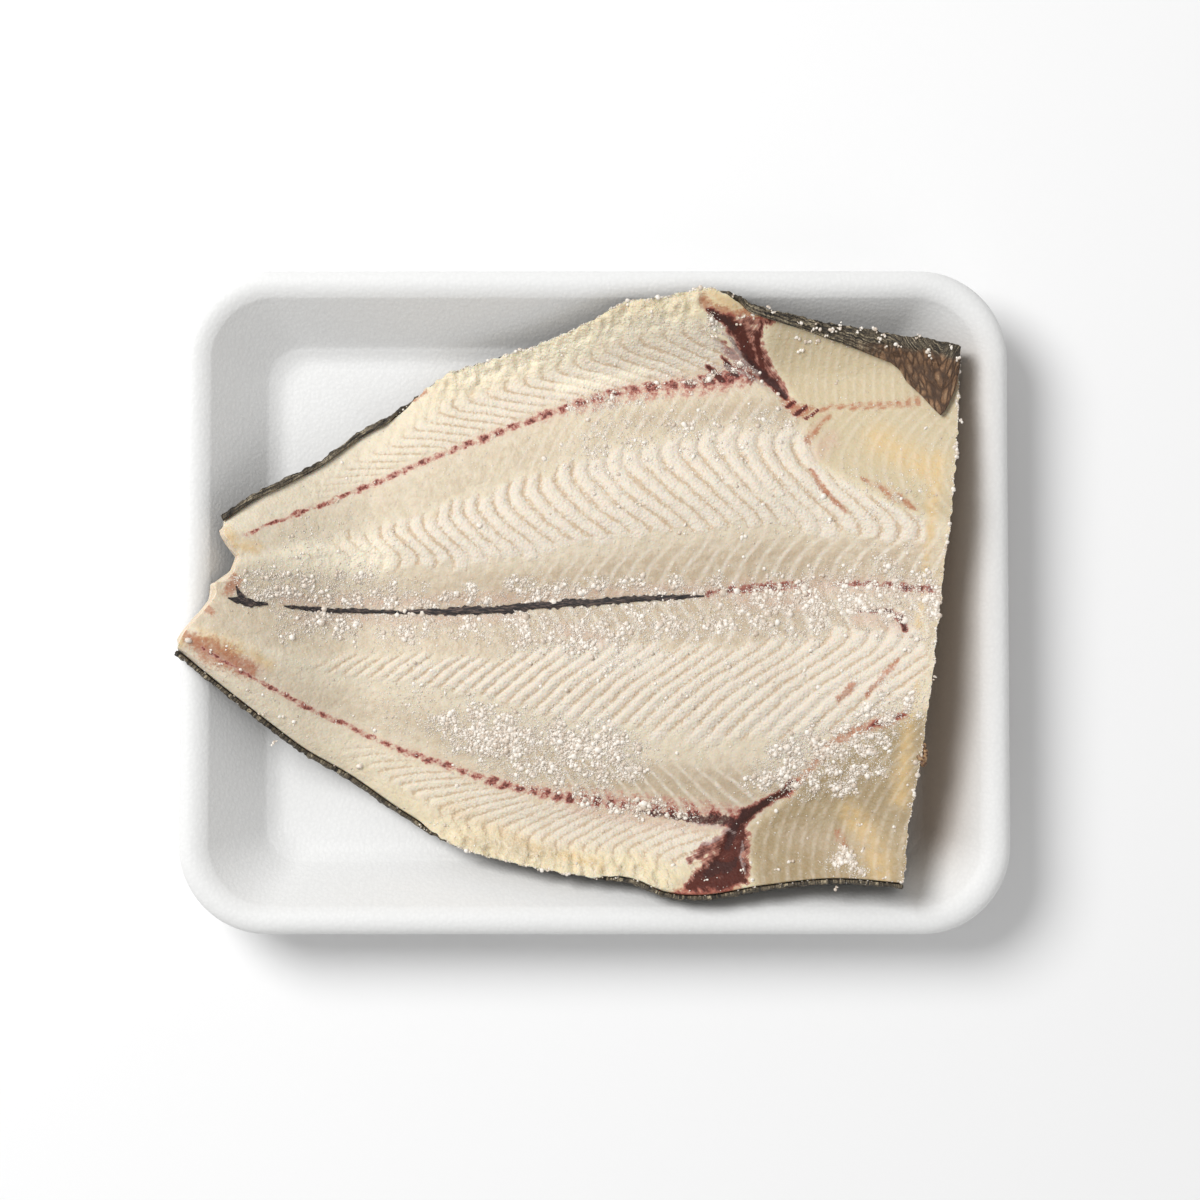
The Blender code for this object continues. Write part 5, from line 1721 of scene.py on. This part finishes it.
    def paint_dark_marks(self):
        """The dark patches beside the belly walls, with torn edges and grey films."""
        mark = self.value("maroon")
        patches = self.ramp(self.patchy, 0.32, 0.62, -0.3, 0.24)
        torn = self.add(self.ramp(self.streak, 0.3, 0.7, -0.16, 0.16), patches)
        self.maroon = self.add(mark, self.math("MULTIPLY", torn, self.ramp(mark, 0.0, 0.3)))
        purple = self.ramp(self.add(self.value("purple"), self.rough_grain), 0.3, 0.9)
        film = self.add(self.value("film"), self.ramp(self.streak, 0.3, 0.7, -0.45, 0.3))
        self.paint(self.ramp(self.maroon, 0.1, 0.5, 0.0, 0.8), RED)
        self.paint(self.ramp(self.maroon, 0.45, 1.0, 0.0, 0.95), MAROON)
        self.paint(self.times(purple, 0.85), PURPLE)
        self.paint(self.times(self.ramp(film, 0.2, 1.0), 0.6), FILM)

    def paint_frost(self):
        """Frost under the salt and, in fine speckles, everywhere but on the dark patches."""
        speckle = self.ramp(self.noise(self.position, 1.2, 2.0, 0.6), 0.5, 0.7)
        speckle = self.times(speckle, self.ramp(self.bars, 0.0, 1.0, 0.14, 0.3))
        frost = self.math("MAXIMUM", self.times(self.value("salt"), 0.6), speckle)
        self.paint(self.times(frost, self.ramp(self.maroon, 0.2, 0.7, 1.0, 0.1)), FROST)

    def add_relief(self):
        """Fine crumbs, the crumbly edges, the beads of the bars and a soft unevenness."""
        fine = self.noise(self.position, 1.0, 1.5, 0.5)
        beads = self.ramp(self.beads, 0.0, 0.8, 1.0, 0.0)
        beads = self.times(beads, self.ramp(self.bars, 0.0, 0.8, 0.35, 1.0))
        self.bump(self.times(fine, self.ramp(self.bars, 0.0, 0.5, 0.5, 1.0)), 0.22)
        self.bump(self.times(fine, self.value("lumpy")), 0.5)
        self.bump(beads, 0.16)
        self.bump(self.patchy, 0.5)


def flesh_material():
    """Salted flesh, slightly clear, with what shows on it."""
    graph = FleshGraph()
    graph.paint_ground()
    graph.paint_bars()
    graph.paint_threads()
    graph.paint_stains()
    graph.paint_blood()
    graph.paint_dark_marks()
    graph.paint_frost()
    graph.add_relief()
    return graph.finish(
        Roughness=graph.ramp(graph.clear, 0.2, 0.9, 0.6, 0.42),
        Subsurface_Weight=0.35,
        Subsurface_Scale=0.0018,
        Subsurface_Radius=(1.0, 0.6, 0.35),
        Specular_IOR_Level=0.32,
    )


def skin_material():
    """Dark fish skin: along its edges layered dark and pale streaks, and on the folded corner a net of brown
    scale pockets with paler middles."""
    graph = Graph("fish skin")
    place = graph.place()
    weave = graph.vector("weave")
    warp = graph.noise(place, 0.25, 2.0)
    bend = graph.node("ShaderNodeTexNoise", Vector=place, Scale=0.3).outputs["Color"]
    cell_place = graph.stretched(graph.vector_math("ADD", weave, bend), (0.46, 0.21, 0.21))
    pockets = graph.cells(cell_place, 1.0, "DISTANCE_TO_EDGE", 0.9)
    middle = graph.cells(cell_place, 1.0, "F1", 0.9)
    layers = graph.noise(graph.stretched(weave, (0.16, 1.5, 1.0)), 1.0, 4.0, 0.66)
    creases = graph.noise(graph.stretched(weave, (0.7, 0.12, 1.0)), 1.0, 3.0, 0.6)
    grit = graph.noise(place, 1.7, 3.0, 0.65)
    graph.colour = SCALE_DARK
    graph.paint(graph.ramp(warp, 0.35, 0.65), SCALE_LIGHT)
    graph.paint(graph.ramp(middle, 0.0, 0.4, 0.6, 0.0), SCALE_MIDDLE)
    graph.paint(graph.ramp(pockets, 0.0, 0.2, 1.0, 0.0), SCALE_EDGE)
    graph.paint(graph.ramp(creases, 0.5, 0.64, 0.0, 0.55), SCALE_CREASE)
    graph.paint(graph.ramp(grit, 0.45, 0.66, 0.0, 0.45), SCALE_GRIT)
    scales = graph.colour
    graph.colour = STREAK_BLACK
    graph.paint(graph.ramp(layers, 0.4, 0.52), STREAK_BROWN)
    graph.paint(graph.ramp(layers, 0.53, 0.62), STREAK_PALE)
    graph.paint(graph.ramp(grit, 0.46, 0.6, 0.0, 0.75), STREAK_GRIT)
    streaks = graph.colour
    graph.colour = scales
    graph.paint(graph.value("strip"), streaks)
    graph.bump(graph.ramp(pockets, 0.0, 0.2), 0.25)
    graph.bump(layers, 0.6)
    graph.bump(grit, 0.3)
    return graph.finish(Roughness=0.5, Specular_IOR_Level=0.4)


def membrane_material():
    """Black membrane with fine fibres."""
    graph = Graph("black membrane")
    fibres = graph.noise(graph.stretched(graph.place(), (0.35, 1.9, 1.9)), 1.0, 4.0, 0.7)
    graph.colour = MEMBRANE_BLACK
    graph.paint(graph.ramp(fibres, 0.46, 0.66), MEMBRANE_FIBRE)
    graph.bump(fibres, 0.5)
    return graph.finish(Roughness=0.55)


def foam_material():
    """White expanded foam with its fine bead grain, and painted shade beside the fish's cut end."""
    graph = Graph("white foam")
    place = graph.place()
    beads = graph.cells(place, 0.75)
    graph.colour = FOAM_WHITE
    graph.paint(graph.ramp(beads, 0.2, 0.8), FOAM_SEAM)
    # Painted shade of the fish's cut end, darkening the foam in the gap.
    graph.paint(graph.times(graph.value("gap_shade"), 0.8), FOAM_PAINTED_SHADE)
    graph.bump(graph.ramp(beads, 0.0, 0.9, 1.0, 0.0), 0.05)
    graph.bump(graph.noise(place, 1.6, 3.0), 0.05)
    return graph.finish(Roughness=0.5, Specular_IOR_Level=0.35)


def salt_material():
    """Moist salt: whitish grains, the clearer ones tinted by the flesh below them."""
    graph = Graph("salt")
    tint = graph.ramp(graph.noise(graph.place(), 1.1, 2.0), 0.3, 0.7, -0.25, 0.25)
    graph.colour = SALT_CLEAR
    graph.paint(graph.ramp(graph.add(graph.value("whiteness"), tint), 0.1, 0.9), SALT_WHITE)
    return graph.finish(Roughness=0.3, Specular_IOR_Level=0.45)


def crumb_material():
    """A dried brown crumb, paler in places."""
    graph = Graph("brown crumb")
    spots = graph.noise(graph.place(), 0.9, 3.0)
    graph.colour = CRUMB_DARK
    graph.paint(graph.ramp(spots, 0.4, 0.62), CRUMB_PALE)
    graph.bump(spots, 0.4)
    return graph.finish(Roughness=0.5)


def make_floor():
    bpy.ops.mesh.primitive_plane_add(size=FLOOR_SIZE, location=(0, 0, -FLOOR_DROP))
    floor = bpy.context.object
    floor.name = "floor"
    graph = Graph("floor")
    graph.colour = FLOOR_WHITE
    floor.data.materials.append(graph.finish(Roughness=0.9, Specular_IOR_Level=0.1))


def make_lights():
    """The lamps and the white surround."""
    scene = bpy.context.scene
    world = bpy.data.worlds.new("surround")
    world.use_nodes = True
    background = world.node_tree.nodes["Background"]
    background.inputs["Color"].default_value = (1.0, 1.0, 1.0, 1.0)
    background.inputs["Strength"].default_value = SKY_STRENGTH
    scene.world = world
    for light in LIGHTS:
        data = bpy.data.lights.new(light.name, "AREA")
        data.shape = "DISK"
        data.size = light.size
        data.energy = light.power
        lamp = bpy.data.objects.new(light.name, data)
        way = Vector(light.way).normalized()
        lamp.location = way * light.distance
        lamp.rotation_euler = way.to_track_quat("Z", "Y").to_euler()
        scene.collection.objects.link(lamp)
    scene.view_settings.view_transform = "Standard"


def make_camera():
    place, right, up, forward = camera_frame()
    camera = bpy.data.objects.new("camera", bpy.data.cameras.new("camera"))
    camera.data.sensor_width = SENSOR
    camera.data.lens = LENS
    rotation = Matrix((right, up, -forward)).transposed().to_4x4()
    camera.matrix_world = Matrix.Translation(Vector(place * MM)) @ rotation
    bpy.context.scene.collection.objects.link(camera)
    bpy.context.scene.camera = camera


def main():
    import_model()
    make_camera()
    make_floor()
    make_lights()
    flesh = Flesh()
    top = Top(flesh)
    make_tray()
    make_flesh(flesh)
    make_skin(flesh)
    make_membrane(flesh, top)
    make_salt(flesh, top)
    make_crumb(top)
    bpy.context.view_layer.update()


main()
